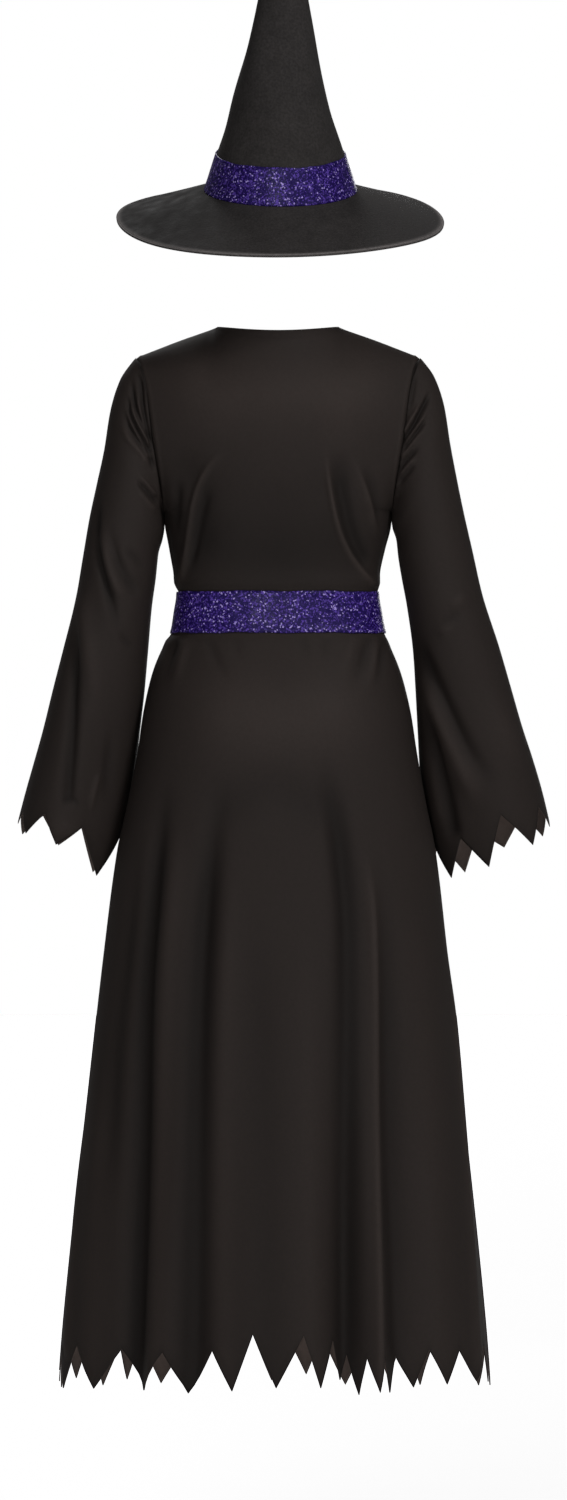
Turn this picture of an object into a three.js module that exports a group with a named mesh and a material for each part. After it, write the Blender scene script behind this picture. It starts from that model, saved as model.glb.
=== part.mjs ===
// A witch costume in the shape it has when worn: a long dress with bell sleeves and a
// jagged hem, a wide belt, and a tall pointed hat with a band.
// Millimetres, +Z up. The front of the costume faces -Y and its left side is at +X.
// The origin is the middle of the neck opening, level with the back of the neckline.
import * as THREE from "three";

// Walls and gaps
const DRESS_WALL = 1.5;
const BELT_WALL = 1.8;
const FELT_WALL = 2.2;
const BAND_WALL = 1.5;
const SEAM_GAP = 0.4; // between two pieces that are sewn to each other
const LYING_GAP = 0.5; // between a piece and the piece it lies on

// Neckline and shoulders
const NECK_HALF_WIDTH = 76;
const NECK_SIDE_HEIGHT = 6;
const NECK_BACK_REACH = 58;
const NECK_FRONT_REACH = 72;
const NECK_FRONT_DROP = 55;
const ARMHOLE_TOP = 31; // how far the shoulder point lies below the origin
const ARMPIT = 225; // how far the armpit lies below the origin
const ARMHOLE_REACH = 48; // half of the armhole's width, from front to back
const SHOULDER_SHARE = 0.25; // the part of a panel's top edge that is one shoulder seam
const TOP_SETTLE = 0.5; // the share of the way to the armpits that the top edge still bends
const YOKE_SQUARE = 2.4; // how square the section is at the armpits, as in BODY_LEVELS
const YOKE_SQUARE_START = 0.45; // the share of the way at which it starts to turn square

// How far out the armhole seam lies at each height
const ARMHOLE_SIDES = [
  { z: -225, side: 141 },
  { z: -196, side: 146 },
  { z: -130, side: 157 },
  { z: -71, side: 165 },
  { z: -31, side: 177 },
];

// Levels of the body below the armpits: half of the width, how far the back and the
// front reach from the side seams, the shift of the middle to the left, and how square
// the section is (2 is an ellipse).
const BODY_LEVELS = [
  { z: -1345, half: 271, back: 205, front: 198, shift: 4.5, square: 2.05 },
  { z: -1265, half: 265.5, back: 199, front: 193, shift: 4.5, square: 2.05 },
  { z: -1147, half: 254.5, back: 188, front: 183, shift: 4.4, square: 2.05 },
  { z: -950, half: 233.5, back: 168, front: 166, shift: 4, square: 2.05 },
  { z: -772, half: 214.5, back: 150, front: 151, shift: 3, square: 2.1 },
  { z: -647, half: 199, back: 134, front: 139, shift: 2, square: 2.1 },
  { z: -590, half: 187, back: 127, front: 132, shift: 1.5, square: 2.15 },
  { z: -524, half: 174.5, back: 119.5, front: 124, shift: 1, square: 2.2 },
  { z: -480, half: 168, back: 113, front: 118, shift: 1.2, square: 2.2 },
  { z: -439, half: 159, back: 104, front: 112.5, shift: 1.6, square: 2.2 },
  { z: -416, half: 151.8, back: 97, front: 109, shift: 1.8, square: 2.2 },
  { z: -386, half: 138, back: 88, front: 104, shift: 1.5, square: 2.2 },
  { z: -377, half: 132.7, back: 84.5, front: 101, shift: 0, square: 2.2 },
  { z: -351, half: 128, back: 80.5, front: 99.5, shift: 0, square: 2.2 },
  { z: -325, half: 124.3, back: 78, front: 101, shift: 0, square: 2.2 },
  { z: -316, half: 127, back: 81.5, front: 105, shift: 1, square: 2.25 },
  { z: -297, half: 130, back: 84, front: 108, shift: 1.6, square: 2.3 },
  { z: -272, half: 135, back: 87, front: 110, shift: 1, square: 2.3 },
  { z: -245, half: 139.5, back: 89, front: 109, shift: 0, square: 2.35 },
  { z: -225, half: 141, back: 90, front: 106, shift: 0, square: 2.4 },
];

// Centre lines of the body above the armpits, from the neckline down
const YOKE_CENTRES = [
  { down: 0, back: 58, front: 72, backZ: 0, frontZ: -55 },
  { down: 0.25, back: 74, front: 84, backZ: -56, frontZ: -92 },
  { down: 0.5, back: 84, front: 95, backZ: -112, frontZ: -138 },
  { down: 0.75, back: 89, front: 103, backZ: -169, frontZ: -182 },
  { down: 1, back: 90, front: 106, backZ: -225, frontZ: -225 },
];

// Rows of the panels' grids. The belt lies from BELT_TOP to BELT_FOOT.
const YOKE_ROWS = 8;
const NARROW_COLUMNS = 16;
const WIDE_COLUMNS = 32;
const BELT_TOP = -325;
const BELT_MIDDLE = -351;
const BELT_FOOT = -377;
const NARROW_LEVELS = [-250, -275, -297, -316, BELT_TOP, BELT_MIDDLE, BELT_FOOT, -386, -412];
const WIDE_LEVELS = [
  -440, -480, -525, -575, -630, -690, -750, -810, -870, -930, -990, -1050, -1110, -1170, -1228,
];
const HEM_PATTERN_START = -600; // below it the columns draw over to the hem's teeth

// The jagged hem, a row for each tooth: its tip and the notch after it, as the share of
// the panel's width from one side seam to the other, and their heights.
const HEM_TEETH = {
  back: [
    { tip: 0.03, tipZ: -1296, notch: 0.062, notchZ: -1276 },
    { tip: 0.085, tipZ: -1316, notch: 0.125, notchZ: -1261 },
    { tip: 0.17, tipZ: -1313, notch: 0.215, notchZ: -1262 },
    { tip: 0.263, tipZ: -1312, notch: 0.31, notchZ: -1265 },
    { tip: 0.353, tipZ: -1314, notch: 0.393, notchZ: -1261 },
    { tip: 0.43, tipZ: -1311, notch: 0.464, notchZ: -1241 },
    { tip: 0.503, tipZ: -1307, notch: 0.549, notchZ: -1243 },
    { tip: 0.577, tipZ: -1307, notch: 0.603, notchZ: -1247 },
    { tip: 0.617, tipZ: -1297, notch: 0.63, notchZ: -1266 },
    { tip: 0.644, tipZ: -1316, notch: 0.657, notchZ: -1271 },
    { tip: 0.672, tipZ: -1314, notch: 0.685, notchZ: -1272 },
    { tip: 0.7, tipZ: -1314, notch: 0.722, notchZ: -1269 },
    { tip: 0.75, tipZ: -1309, notch: 0.777, notchZ: -1263 },
    { tip: 0.804, tipZ: -1307, notch: 0.835, notchZ: -1266 },
    { tip: 0.872, tipZ: -1306, notch: 0.92, notchZ: -1260 },
    { tip: 0.962, tipZ: -1310, notch: 1, notchZ: -1268 },
  ],
  front: [
    { tip: 0.035, tipZ: -1318, notch: 0.07, notchZ: -1273 },
    { tip: 0.105, tipZ: -1322, notch: 0.145, notchZ: -1266 },
    { tip: 0.175, tipZ: -1312, notch: 0.2, notchZ: -1279 },
    { tip: 0.235, tipZ: -1325, notch: 0.27, notchZ: -1262 },
    { tip: 0.305, tipZ: -1319, notch: 0.335, notchZ: -1270 },
    { tip: 0.375, tipZ: -1327, notch: 0.415, notchZ: -1264 },
    { tip: 0.445, tipZ: -1315, notch: 0.472, notchZ: -1276 },
    { tip: 0.505, tipZ: -1324, notch: 0.54, notchZ: -1261 },
    { tip: 0.575, tipZ: -1321, notch: 0.61, notchZ: -1268 },
    { tip: 0.635, tipZ: -1311, notch: 0.66, notchZ: -1280 },
    { tip: 0.695, tipZ: -1326, notch: 0.735, notchZ: -1265 },
    { tip: 0.768, tipZ: -1318, notch: 0.8, notchZ: -1271 },
    { tip: 0.83, tipZ: -1323, notch: 0.862, notchZ: -1263 },
    { tip: 0.885, tipZ: -1313, notch: 0.91, notchZ: -1278 },
    { tip: 0.938, tipZ: -1322, notch: 0.965, notchZ: -1269 },
    { tip: 0.983, tipZ: -1312, notch: 1, notchZ: -1272 },
  ],
};
const HEM_START_NOTCH = { back: -1272, front: -1268 };

// The skirt's largest folds, troughs where the depth is negative. A place runs from 0 to
// 1 over the back, from the left side seam to the right one, and from 1 to 2 over the
// front. The lean moves the fold between its top and the hem.
const SKIRT_FOLDS = [
  { place: 0.09, lean: 0, width: 0.1, depth: 6, top: -760 },
  { place: 0.245, lean: 0.03, width: 0.1, depth: -12, top: -640 },
  { place: 0.32, lean: 0.01, width: 0.09, depth: 7, top: -700 },
  { place: 0.385, lean: 0.01, width: 0.09, depth: -9, top: -720 },
  { place: 0.5, lean: 0, width: 0.16, depth: 5, top: -800 },
  { place: 0.625, lean: 0, width: 0.07, depth: -13, top: -700 },
  { place: 0.675, lean: 0, width: 0.06, depth: 12, top: -680 },
  { place: 0.728, lean: 0, width: 0.08, depth: -13, top: -620 },
  { place: 0.865, lean: 0.01, width: 0.12, depth: 9, top: -690 },
  { place: 1.1, lean: 0, width: 0.12, depth: 8, top: -700 },
  { place: 1.19, lean: -0.01, width: 0.1, depth: -11, top: -640 },
  { place: 1.3, lean: 0, width: 0.12, depth: 9, top: -720 },
  { place: 1.4, lean: 0.01, width: 0.1, depth: -12, top: -650 },
  { place: 1.5, lean: 0, width: 0.12, depth: 8, top: -760 },
  { place: 1.61, lean: -0.01, width: 0.1, depth: -13, top: -660 },
  { place: 1.71, lean: 0, width: 0.12, depth: 9, top: -700 },
  { place: 1.81, lean: 0.01, width: 0.1, depth: -10, top: -690 },
  { place: 1.91, lean: 0, width: 0.1, depth: 6, top: -740 },
];
const SKIRT_FOLD_FULL = -1265; // a fold has its whole depth at this height

// The sleeves, a row for each ring: the way down from the armhole, the outer and the
// inner point of the ring (out from the middle plane), half of its depth and its middle.
const SLEEVE_RINGS = {
  left: [
    { down: 0, outerX: 177, outerZ: -31, innerX: 141, innerZ: -225, reach: 48, y: 0 },
    { down: 30, outerX: 197, outerZ: -60, innerX: 142.6, innerZ: -231, reach: 50, y: 0 },
    { down: 65, outerX: 209, outerZ: -98, innerX: 142.4, innerZ: -238, reach: 52, y: 1 },
    { down: 110, outerX: 217, outerZ: -148, innerX: 142.2, innerZ: -248, reach: 54, y: 2 },
    { down: 150, outerX: 226, outerZ: -190, innerX: 144, innerZ: -260, reach: 55, y: 3 },
    { down: 190, outerX: 235, outerZ: -232, innerX: 148.5, innerZ: -276, reach: 56, y: 4 },
    { down: 240, outerX: 243.5, outerZ: -282, innerX: 152, innerZ: -308, reach: 57, y: 5 },
    { down: 290, outerX: 252, outerZ: -332, innerX: 157, innerZ: -345, reach: 59, y: 5 },
    { down: 350, outerX: 268, outerZ: -396, innerX: 162, innerZ: -402, reach: 64, y: -2 },
    { down: 400, outerX: 281, outerZ: -446, innerX: 167, innerZ: -450, reach: 70, y: -11 },
    { down: 450, outerX: 294, outerZ: -498, innerX: 173.5, innerZ: -495, reach: 77, y: -21 },
    { down: 500, outerX: 306, outerZ: -540, innerX: 180.5, innerZ: -545, reach: 84, y: -32 },
    { down: 550, outerX: 317, outerZ: -578, innerX: 189, innerZ: -594, reach: 91, y: -43 },
    { down: 640, outerX: 339, outerZ: -663, innerX: 206, innerZ: -684, reach: 101, y: -62 },
  ],
  right: [
    { down: 0, outerX: 177, outerZ: -31, innerX: 141, innerZ: -225, reach: 48, y: 0 },
    { down: 30, outerX: 195.5, outerZ: -57, innerX: 142.6, innerZ: -231, reach: 50, y: 0 },
    { down: 65, outerX: 207.5, outerZ: -93, innerX: 142.8, innerZ: -237, reach: 52, y: 1 },
    { down: 110, outerX: 215, outerZ: -140, innerX: 143.4, innerZ: -246, reach: 54, y: 2 },
    { down: 150, outerX: 222.5, outerZ: -180, innerX: 147.5, innerZ: -260, reach: 55, y: 3 },
    { down: 190, outerX: 231, outerZ: -222, innerX: 149.5, innerZ: -280, reach: 56, y: 4 },
    { down: 240, outerX: 243, outerZ: -275, innerX: 154, innerZ: -308, reach: 57, y: 5 },
    { down: 290, outerX: 255, outerZ: -328, innerX: 160, innerZ: -340, reach: 59, y: 5 },
    { down: 350, outerX: 276, outerZ: -393, innerX: 168, innerZ: -397, reach: 62, y: -2 },
    { down: 400, outerX: 291, outerZ: -444, innerX: 172, innerZ: -447, reach: 67, y: -11 },
    { down: 450, outerX: 305, outerZ: -492, innerX: 176, innerZ: -500, reach: 73, y: -21 },
    { down: 500, outerX: 319, outerZ: -534, innerX: 180, innerZ: -550, reach: 79, y: -32 },
    { down: 550, outerX: 331.5, outerZ: -576, innerX: 187, innerZ: -600, reach: 84, y: -43 },
    { down: 640, outerX: 352, outerZ: -664, innerX: 202, innerZ: -688, reach: 92, y: -62 },
  ],
};
const SLEEVE_NARROW_ROWS = [18, 38, 62, 90, 122, 156, 192, 232];
const SLEEVE_WIDE_ROWS = [272, 316, 362, 408, 454, 500, 545];
const SLEEVE_PATTERN_START = 280; // from here the columns draw over to the cuff's teeth
const SLEEVE_PATTERN_FULL = 560;
const SLEEVE_COLUMNS = 2 * YOKE_ROWS;
const SEAM_FADE = 90; // over this length the sleeve takes the armhole's exact shape

// The jagged cuffs, a row for each tooth: its tip and the notch after it, in degrees
// from the outer side over the back, and how far down the sleeve they reach.
const CUFF_POINTS = {
  left: [
    { tip: 10, tipDown: 590, notch: 25, notchDown: 573 },
    { tip: 43, tipDown: 600, notch: 63, notchDown: 571 },
    { tip: 81, tipDown: 608, notch: 106, notchDown: 582 },
    { tip: 137, tipDown: 639, notch: 163, notchDown: 588 },
    { tip: 184, tipDown: 622, notch: 205, notchDown: 587 },
    { tip: 233, tipDown: 637, notch: 258, notchDown: 584 },
    { tip: 280, tipDown: 611, notch: 303, notchDown: 578 },
    { tip: 327, tipDown: 604, notch: 350, notchDown: 574 },
  ],
  right: [
    { tip: 12, tipDown: 594, notch: 34, notchDown: 566 },
    { tip: 54, tipDown: 612, notch: 79, notchDown: 568 },
    { tip: 100, tipDown: 631, notch: 125, notchDown: 590 },
    { tip: 145, tipDown: 637, notch: 166, notchDown: 590 },
    { tip: 190, tipDown: 622, notch: 212, notchDown: 589 },
    { tip: 236, tipDown: 634, notch: 258, notchDown: 584 },
    { tip: 281, tipDown: 612, notch: 303, notchDown: 577 },
    { tip: 325, tipDown: 606, notch: 348, notchDown: 572 },
  ],
};

// The lower sleeves' largest folds, in degrees from the outer side over the back
const SLEEVE_FOLDS = [
  { at: 62, width: 60, depth: 5, top: 300 },
  { at: 112, width: 50, depth: -6, top: 260 },
  { at: 200, width: 60, depth: 4, top: 340 },
  { at: 250, width: 60, depth: -5, top: 280 },
  { at: 305, width: 60, depth: 5, top: 320 },
];
const SLEEVE_FOLD_FULL = 560; // a fold has its whole depth this far down

// Belt: it starts at the middle of the front and its end laps over its start.
const BELT_LAP_COLUMNS = 2;
const BELT_START = 1.5; // the place round the body, as for the skirt's folds

// Hat: the crown's outer radius at each height over the brim
const CROWN_RADII = [
  { z: 0, radius: 92.5 },
  { z: 24, radius: 85 },
  { z: 48, radius: 77.4 },
  { z: 80, radius: 67.5 },
  { z: 119, radius: 57.5 },
  { z: 184, radius: 41.2 },
  { z: 250, radius: 27.6 },
  { z: 310, radius: 17.5 },
  { z: 360, radius: 8 },
  { z: 386, radius: 3.4 },
  { z: 392, radius: 0 },
];
const CROWN_SOLID_RADIUS = 9; // the sewn point is solid above this radius
const CROWN_SIDES = 32;
const BRIM_RADIUS = 205;
const BRIM_DROOP = 39; // how far its edge hangs below its root
const BRIM_CURVE = 0.95;
const BRIM_WAVE = 2; // how far its edge rises and falls
const BRIM_WAVES = 3;
const BRIM_WAVE_TURN = 1; // in radians
const BRIM_SIDES = 48;
const BRIM_ROWS = 5;
const HAT_BAND_WIDTH = 47;
const HAT_TILT = 16; // degrees that the hat leans back
const HAT_ROLL = -0.4;
const HAT_PLACE = { x: -3, y: -15, z: 177.5 };

// Steps for working out outlines and outward directions
const CURVE_STEPS = 72;
const OUTLINE_STEP = 0.01;
const SHARE_STEP = 0.004;
const WAY_STEP = 0.02;
const WAY_UNIT = 100; // millimetres down for each unit of a panel's way, below the armpits
const TURN_STEP = 1;
const DOWN_STEP = 2;

const FINISHES = {
  dress: { color: 0x2a2726, roughness: 0.62, metalness: 0 },
  felt: { color: 0x272524, roughness: 0.85, metalness: 0 },
  glitter: { color: 0x2a1265, roughness: 0.45, metalness: 0.3 },
};

const radians = THREE.MathUtils.degToRad;
const clamp01 = (value) => THREE.MathUtils.clamp(value, 0, 1);
const easeInOut = (share) => THREE.MathUtils.smoothstep(share, 0, 1);

// A smooth curve through one column of a table, which doesn't overshoot between rows.
function tableAt(table, place, column, at) {
  const last = table.length - 1;
  let i = 0;
  while (i < last - 1 && at > table[i + 1][place]) i += 1;
  const width = (k) => table[k + 1][place] - table[k][place];
  const slope = (k) => (table[k + 1][column] - table[k][column]) / width(k);
  const tangent = (k) => {
    if (k === 0) return slope(0);
    if (k === last) return slope(last - 1);
    const before = slope(k - 1);
    const after = slope(k);
    return before * after <= 0 ? 0 : (2 * before * after) / (before + after);
  };
  const t = (at - table[i][place]) / width(i);
  if (t <= 0) return table[i][column] + tangent(i) * t * width(i);
  if (t >= 1) return table[i + 1][column] + tangent(i + 1) * (t - 1) * width(i);
  const rise = t * t * (3 - 2 * t);
  return (
    table[i][column] * (1 - rise) +
    table[i + 1][column] * rise +
    width(i) * (tangent(i) * t * (1 - t) * (1 - t) - tangent(i + 1) * t * t * (1 - t))
  );
}

// The point at a share of a curve's length, where the curve is a list of points.
function pointAlong(points, share) {
  const lengths = [0];
  for (let i = 1; i < points.length; i += 1) {
    lengths.push(lengths[i - 1] + points[i].distanceTo(points[i - 1]));
  }
  const wanted = clamp01(share) * lengths[points.length - 1];
  let i = 1;
  while (i < points.length - 1 && lengths[i] < wanted) i += 1;
  const t = (wanted - lengths[i - 1]) / (lengths[i] - lengths[i - 1]);
  return points[i - 1].clone().lerp(points[i], t);
}

function curveLength(points) {
  return points.slice(1).reduce((sum, point, i) => sum + point.distanceTo(points[i]), 0);
}

// The outline of a panel at one height below the armpits. The back runs from the left
// side seam to the right one and the front runs back again, so that both turn one way.
function bodyOutline(panel, z) {
  const facing = panel === "back" ? 1 : -1;
  const half = tableAt(BODY_LEVELS, "z", "half", z);
  const reach = tableAt(BODY_LEVELS, "z", panel, z);
  const shift = tableAt(BODY_LEVELS, "z", "shift", z);
  const power = 2 / tableAt(BODY_LEVELS, "z", "square", z);
  const points = [];
  for (let i = 0; i <= CURVE_STEPS; i += 1) {
    const angle = (Math.PI * i) / CURVE_STEPS;
    const across = Math.sign(Math.cos(angle)) * Math.abs(Math.cos(angle)) ** power;
    const out = Math.abs(Math.sin(angle)) ** power;
    points.push(new THREE.Vector3(shift + facing * half * across, facing * reach * out, z));
  }
  return points;
}

// How far the skirt's folds push the cloth out at a place round the body
function foldDepth(place, z) {
  let depth = 0;
  for (const fold of SKIRT_FOLDS) {
    const grown = clamp01((fold.top - z) / (fold.top - SKIRT_FOLD_FULL));
    const middle = fold.place + fold.lean * (1 - grown);
    let away = Math.abs(place - middle);
    away = Math.min(away, 2 - away) / fold.width;
    if (away < 1) depth += fold.depth * easeInOut(grown) * Math.cos((Math.PI / 2) * away) ** 2;
  }
  return depth;
}

function bodyPoint(panel, share, z) {
  const outline = bodyOutline(panel, z);
  const point = pointAlong(outline, share);
  const before = pointAlong(outline, share - OUTLINE_STEP);
  const after = pointAlong(outline, share + OUTLINE_STEP);
  const out = new THREE.Vector3(after.y - before.y, before.x - after.x, 0).normalize();
  const place = (panel === "back" ? 0 : 1) + share;
  return point.addScaledVector(out, foldDepth(place, z));
}

function armholeAngle(down) {
  return Math.PI * down;
}

// The armhole seam's point on the left side of the dress: down is 0 at the shoulder and
// 1 at the armpit, and facing is 1 on the back edge and -1 on the front one.
function armholePoint(facing, down) {
  const middle = -(ARMHOLE_TOP + ARMPIT) / 2;
  const z = middle + ((ARMPIT - ARMHOLE_TOP) / 2) * Math.cos(armholeAngle(down));
  const x = tableAt(ARMHOLE_SIDES, "z", "side", z);
  return new THREE.Vector3(x, facing * ARMHOLE_REACH * Math.sin(armholeAngle(down)), z);
}

// The top edge of a panel: a shoulder seam, the neckline and the other shoulder seam.
function topEdgePoint(panel, share) {
  const facing = panel === "back" ? 1 : -1;
  const side = share < 0.5 ? facing : -facing;
  const fromSide = share < 0.5 ? share : 1 - share;
  const shoulder = armholePoint(facing, 0);
  if (fromSide < SHOULDER_SHARE) {
    const t = fromSide / SHOULDER_SHARE;
    const x = THREE.MathUtils.lerp(shoulder.x, NECK_HALF_WIDTH, t);
    const z = THREE.MathUtils.lerp(shoulder.z, NECK_SIDE_HEIGHT, t);
    return new THREE.Vector3(side * x, 0, z);
  }
  const turn = (Math.PI / 2) * ((fromSide - SHOULDER_SHARE) / (0.5 - SHOULDER_SHARE));
  const reach = panel === "back" ? NECK_BACK_REACH : NECK_FRONT_REACH;
  const foot = panel === "back" ? 0 : -NECK_FRONT_DROP;
  const z = THREE.MathUtils.lerp(NECK_SIDE_HEIGHT, foot, Math.sin(turn) ** 2);
  return new THREE.Vector3(side * NECK_HALF_WIDTH * Math.cos(turn), facing * reach * Math.sin(turn), z);
}

// A panel above the armpits, where down runs from 0 at its top edge to 1.
function yokePoint(panel, share, down) {
  const facing = panel === "back" ? 1 : -1;
  const edge = armholePoint(facing, down);
  const centreY = tableAt(YOKE_CENTRES, "down", panel, down);
  const centreZ = tableAt(YOKE_CENTRES, "down", panel + "Z", down);
  const squareness = easeInOut(clamp01((down - YOKE_SQUARE_START) / (1 - YOKE_SQUARE_START)));
  const spread = THREE.MathUtils.lerp(1, 2 / YOKE_SQUARE, squareness);
  const inner = THREE.MathUtils.lerp(2, YOKE_SQUARE, squareness);
  const outer = THREE.MathUtils.lerp(1, 1 / YOKE_SQUARE, squareness);
  const points = [];
  for (let i = 0; i <= CURVE_STEPS; i += 1) {
    const turn = Math.cos((Math.PI * i) / CURVE_STEPS);
    const across = Math.sign(turn) * Math.abs(turn) ** spread;
    const rise = (1 - Math.abs(across) ** inner) ** outer;
    const y = facing * (Math.abs(edge.y) + (centreY - Math.abs(edge.y)) * rise);
    const z = centreZ + (edge.z - centreZ) * across * across;
    points.push(new THREE.Vector3(facing * edge.x * across, y, z));
  }
  const settled = Math.sin((Math.PI / 2) * clamp01(down / TOP_SETTLE));
  return topEdgePoint(panel, share).lerp(pointAlong(points, share), settled);
}

// Any point of a panel: the first unit of way runs down to the armpits, and each
// further unit is WAY_UNIT lower.
const wayOfLevel = (z) => 1 + (-ARMPIT - z) / WAY_UNIT;
function panelPoint(panel, share, way) {
  if (way < 1) return yokePoint(panel, share, way);
  return bodyPoint(panel, share, -ARMPIT - (way - 1) * WAY_UNIT);
}

// The outward direction of a surface that turns one way with its first parameter and
// runs down with its second.
function outward(surface, u, v, stepU, stepV) {
  const across = surface(u + stepU, v).sub(surface(u - stepU, v));
  const down = surface(u, v + stepV).sub(surface(u, Math.max(v - stepV, 0)));
  return down.cross(across).normalize();
}

function panelOutward(panel, share, way) {
  const inside = THREE.MathUtils.clamp(share, SHARE_STEP, 1 - SHARE_STEP);
  const surface = (u, v) => panelPoint(panel, u, v);
  return outward(surface, inside, way, SHARE_STEP, WAY_STEP);
}

// Two surfaces that meet at a seam end on one plane, so that their walls stay apart.
function seamDirection(panel, share, way) {
  const other = panel === "back" ? "front" : "back";
  const own = panelOutward(panel, share, way);
  return own.add(panelOutward(other, 1 - share, way)).normalize().negate();
}

// Towards the middle of the armhole, in the plane of its oval
function armholeInward(facing, down) {
  return new THREE.Vector3(0, -facing * Math.sin(armholeAngle(down)), -Math.cos(armholeAngle(down)));
}

// Columns of the lower skirt that end at the tips and the notches of the hem
function hemShares(panel) {
  return [0, ...HEM_TEETH[panel].flatMap((tooth) => [tooth.tip, tooth.notch])];
}

function hemHeights(panel) {
  return [HEM_START_NOTCH[panel], ...HEM_TEETH[panel].flatMap((tooth) => [tooth.tipZ, tooth.notchZ])];
}

// One row of a wall's grid: the outer points and the way to the inner ones.
function bodyRow(panel, columns, z, heights) {
  const drawn = easeInOut(clamp01((HEM_PATTERN_START - z) / (HEM_PATTERN_START - WIDE_LEVELS.at(-1))));
  const pattern = hemShares(panel);
  const row = [];
  for (let j = 0; j <= columns; j += 1) {
    const even = j / columns;
    const share = columns === WIDE_COLUMNS ? THREE.MathUtils.lerp(even, pattern[j], drawn) : even;
    const height = heights ? heights[j] : z;
    const pull = SEAM_GAP / 2 / curveLength(bodyOutline(panel, height));
    const kept = THREE.MathUtils.clamp(share, pull, 1 - pull);
    const outer = bodyPoint(panel, kept, height);
    row.push({ outer, inward: panelOutward(panel, share, wayOfLevel(height)).negate() });
  }
  return row;
}

function yokeRow(panel, index) {
  const facing = panel === "back" ? 1 : -1;
  const down = index / YOKE_ROWS;
  const row = [];
  for (let j = 0; j <= NARROW_COLUMNS; j += 1) {
    const share = j / NARROW_COLUMNS;
    const fromSide = Math.min(share, 1 - share);
    const outer = yokePoint(panel, share, down);
    let inward = panelOutward(panel, share, down).negate();
    if (index === 0 && fromSide <= SHOULDER_SHARE) {
      outer.y += (facing * SEAM_GAP) / 2;
      inward = seamDirection(panel, share, down);
    }
    if (fromSide === 0) inward = armholeInward(facing, down);
    row.push({ outer, inward });
  }
  return row;
}

// A closed solid from rows of outer points, with a wall set inwards. Neighbouring rows
// may have different numbers of points. A tube's rows close on themselves.
function wallGeometry(rows, wall, isTube) {
  const places = [];
  const starts = { outer: [], inner: [] };
  for (const layer of ["outer", "inner"]) {
    for (const row of rows) {
      starts[layer].push(places.length / 3);
      for (const { outer, inward } of row) {
        const depth = layer === "outer" ? 0 : wall;
        const point = outer.clone().addScaledVector(inward, depth);
        places.push(point.x, point.y, point.z);
      }
    }
  }
  const spans = rows.map((row) => (isTube ? row.length : row.length - 1));
  const index = (layer, i, j) => starts[layer][i] + (j % rows[i].length);
  const faces = [];
  const addBoth = (a, b, c) => {
    faces.push(...[a, b, c].map(([i, j]) => index("outer", i, j)));
    faces.push(...[a, c, b].map(([i, j]) => index("inner", i, j)));
  };
  for (let i = 0; i < rows.length - 1; i += 1) {
    let upper = 0;
    let lower = 0;
    while (upper < spans[i] || lower < spans[i + 1]) {
      const lowerIsNext = (lower + 1) * spans[i] <= (upper + 1) * spans[i + 1];
      if (lower < spans[i + 1] && (lowerIsNext || upper === spans[i])) {
        addBoth([i, upper], [i + 1, lower], [i + 1, lower + 1]);
        lower += 1;
      } else {
        addBoth([i, upper], [i + 1, lower], [i, upper + 1]);
        upper += 1;
      }
    }
  }
  const addRim = (from, to) => {
    const [a, b] = [index("outer", ...from), index("outer", ...to)];
    const [c, d] = [index("inner", ...to), index("inner", ...from)];
    faces.push(a, b, c, a, c, d);
  };
  const foot = rows.length - 1;
  for (let j = 0; j < spans[0]; j += 1) addRim([0, j], [0, j + 1]);
  for (let j = 0; j < spans[foot]; j += 1) addRim([foot, j + 1], [foot, j]);
  for (let i = 0; i < foot && !isTube; i += 1) {
    addRim([i + 1, 0], [i, 0]);
    addRim([i, spans[i]], [i + 1, spans[i + 1]]);
  }
  const geometry = new THREE.BufferGeometry();
  geometry.setAttribute("position", new THREE.Float32BufferAttribute(places, 3));
  geometry.setIndex(faces);
  geometry.computeVertexNormals();
  return geometry;
}

function dressPanel(panel) {
  const rows = [];
  for (let i = 0; i < YOKE_ROWS; i += 1) rows.push(yokeRow(panel, i));
  for (const z of [-ARMPIT, ...NARROW_LEVELS]) rows.push(bodyRow(panel, NARROW_COLUMNS, z));
  rows[YOKE_ROWS][0].inward = armholeInward(1, 1);
  rows[YOKE_ROWS][NARROW_COLUMNS].inward = armholeInward(1, 1);
  for (const z of WIDE_LEVELS) rows.push(bodyRow(panel, WIDE_COLUMNS, z));
  rows.push(bodyRow(panel, WIDE_COLUMNS, WIDE_LEVELS.at(-1), hemHeights(panel)));
  return wallGeometry(rows, DRESS_WALL, false);
}

// A sleeve of the left side. Turn runs in degrees from the outer side over the back.
function sleeveOval(side, turn, down) {
  const rings = SLEEVE_RINGS[side];
  const at = (column) => tableAt(rings, "down", column, down);
  const across = (1 + Math.cos(radians(turn))) / 2;
  const x = THREE.MathUtils.lerp(at("innerX"), at("outerX"), across);
  const z = THREE.MathUtils.lerp(at("innerZ"), at("outerZ"), across);
  return new THREE.Vector3(x, at("y") + at("reach") * Math.sin(radians(turn)), z);
}

function sleeveFold(turn, down) {
  let depth = 0;
  for (const fold of SLEEVE_FOLDS) {
    const away = Math.abs(((turn - fold.at + 540) % 360) - 180) / fold.width;
    const grown = clamp01((down - fold.top) / (SLEEVE_FOLD_FULL - fold.top));
    if (away < 1) depth += fold.depth * easeInOut(grown) * Math.cos((Math.PI / 2) * away) ** 2;
  }
  return depth;
}

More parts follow.
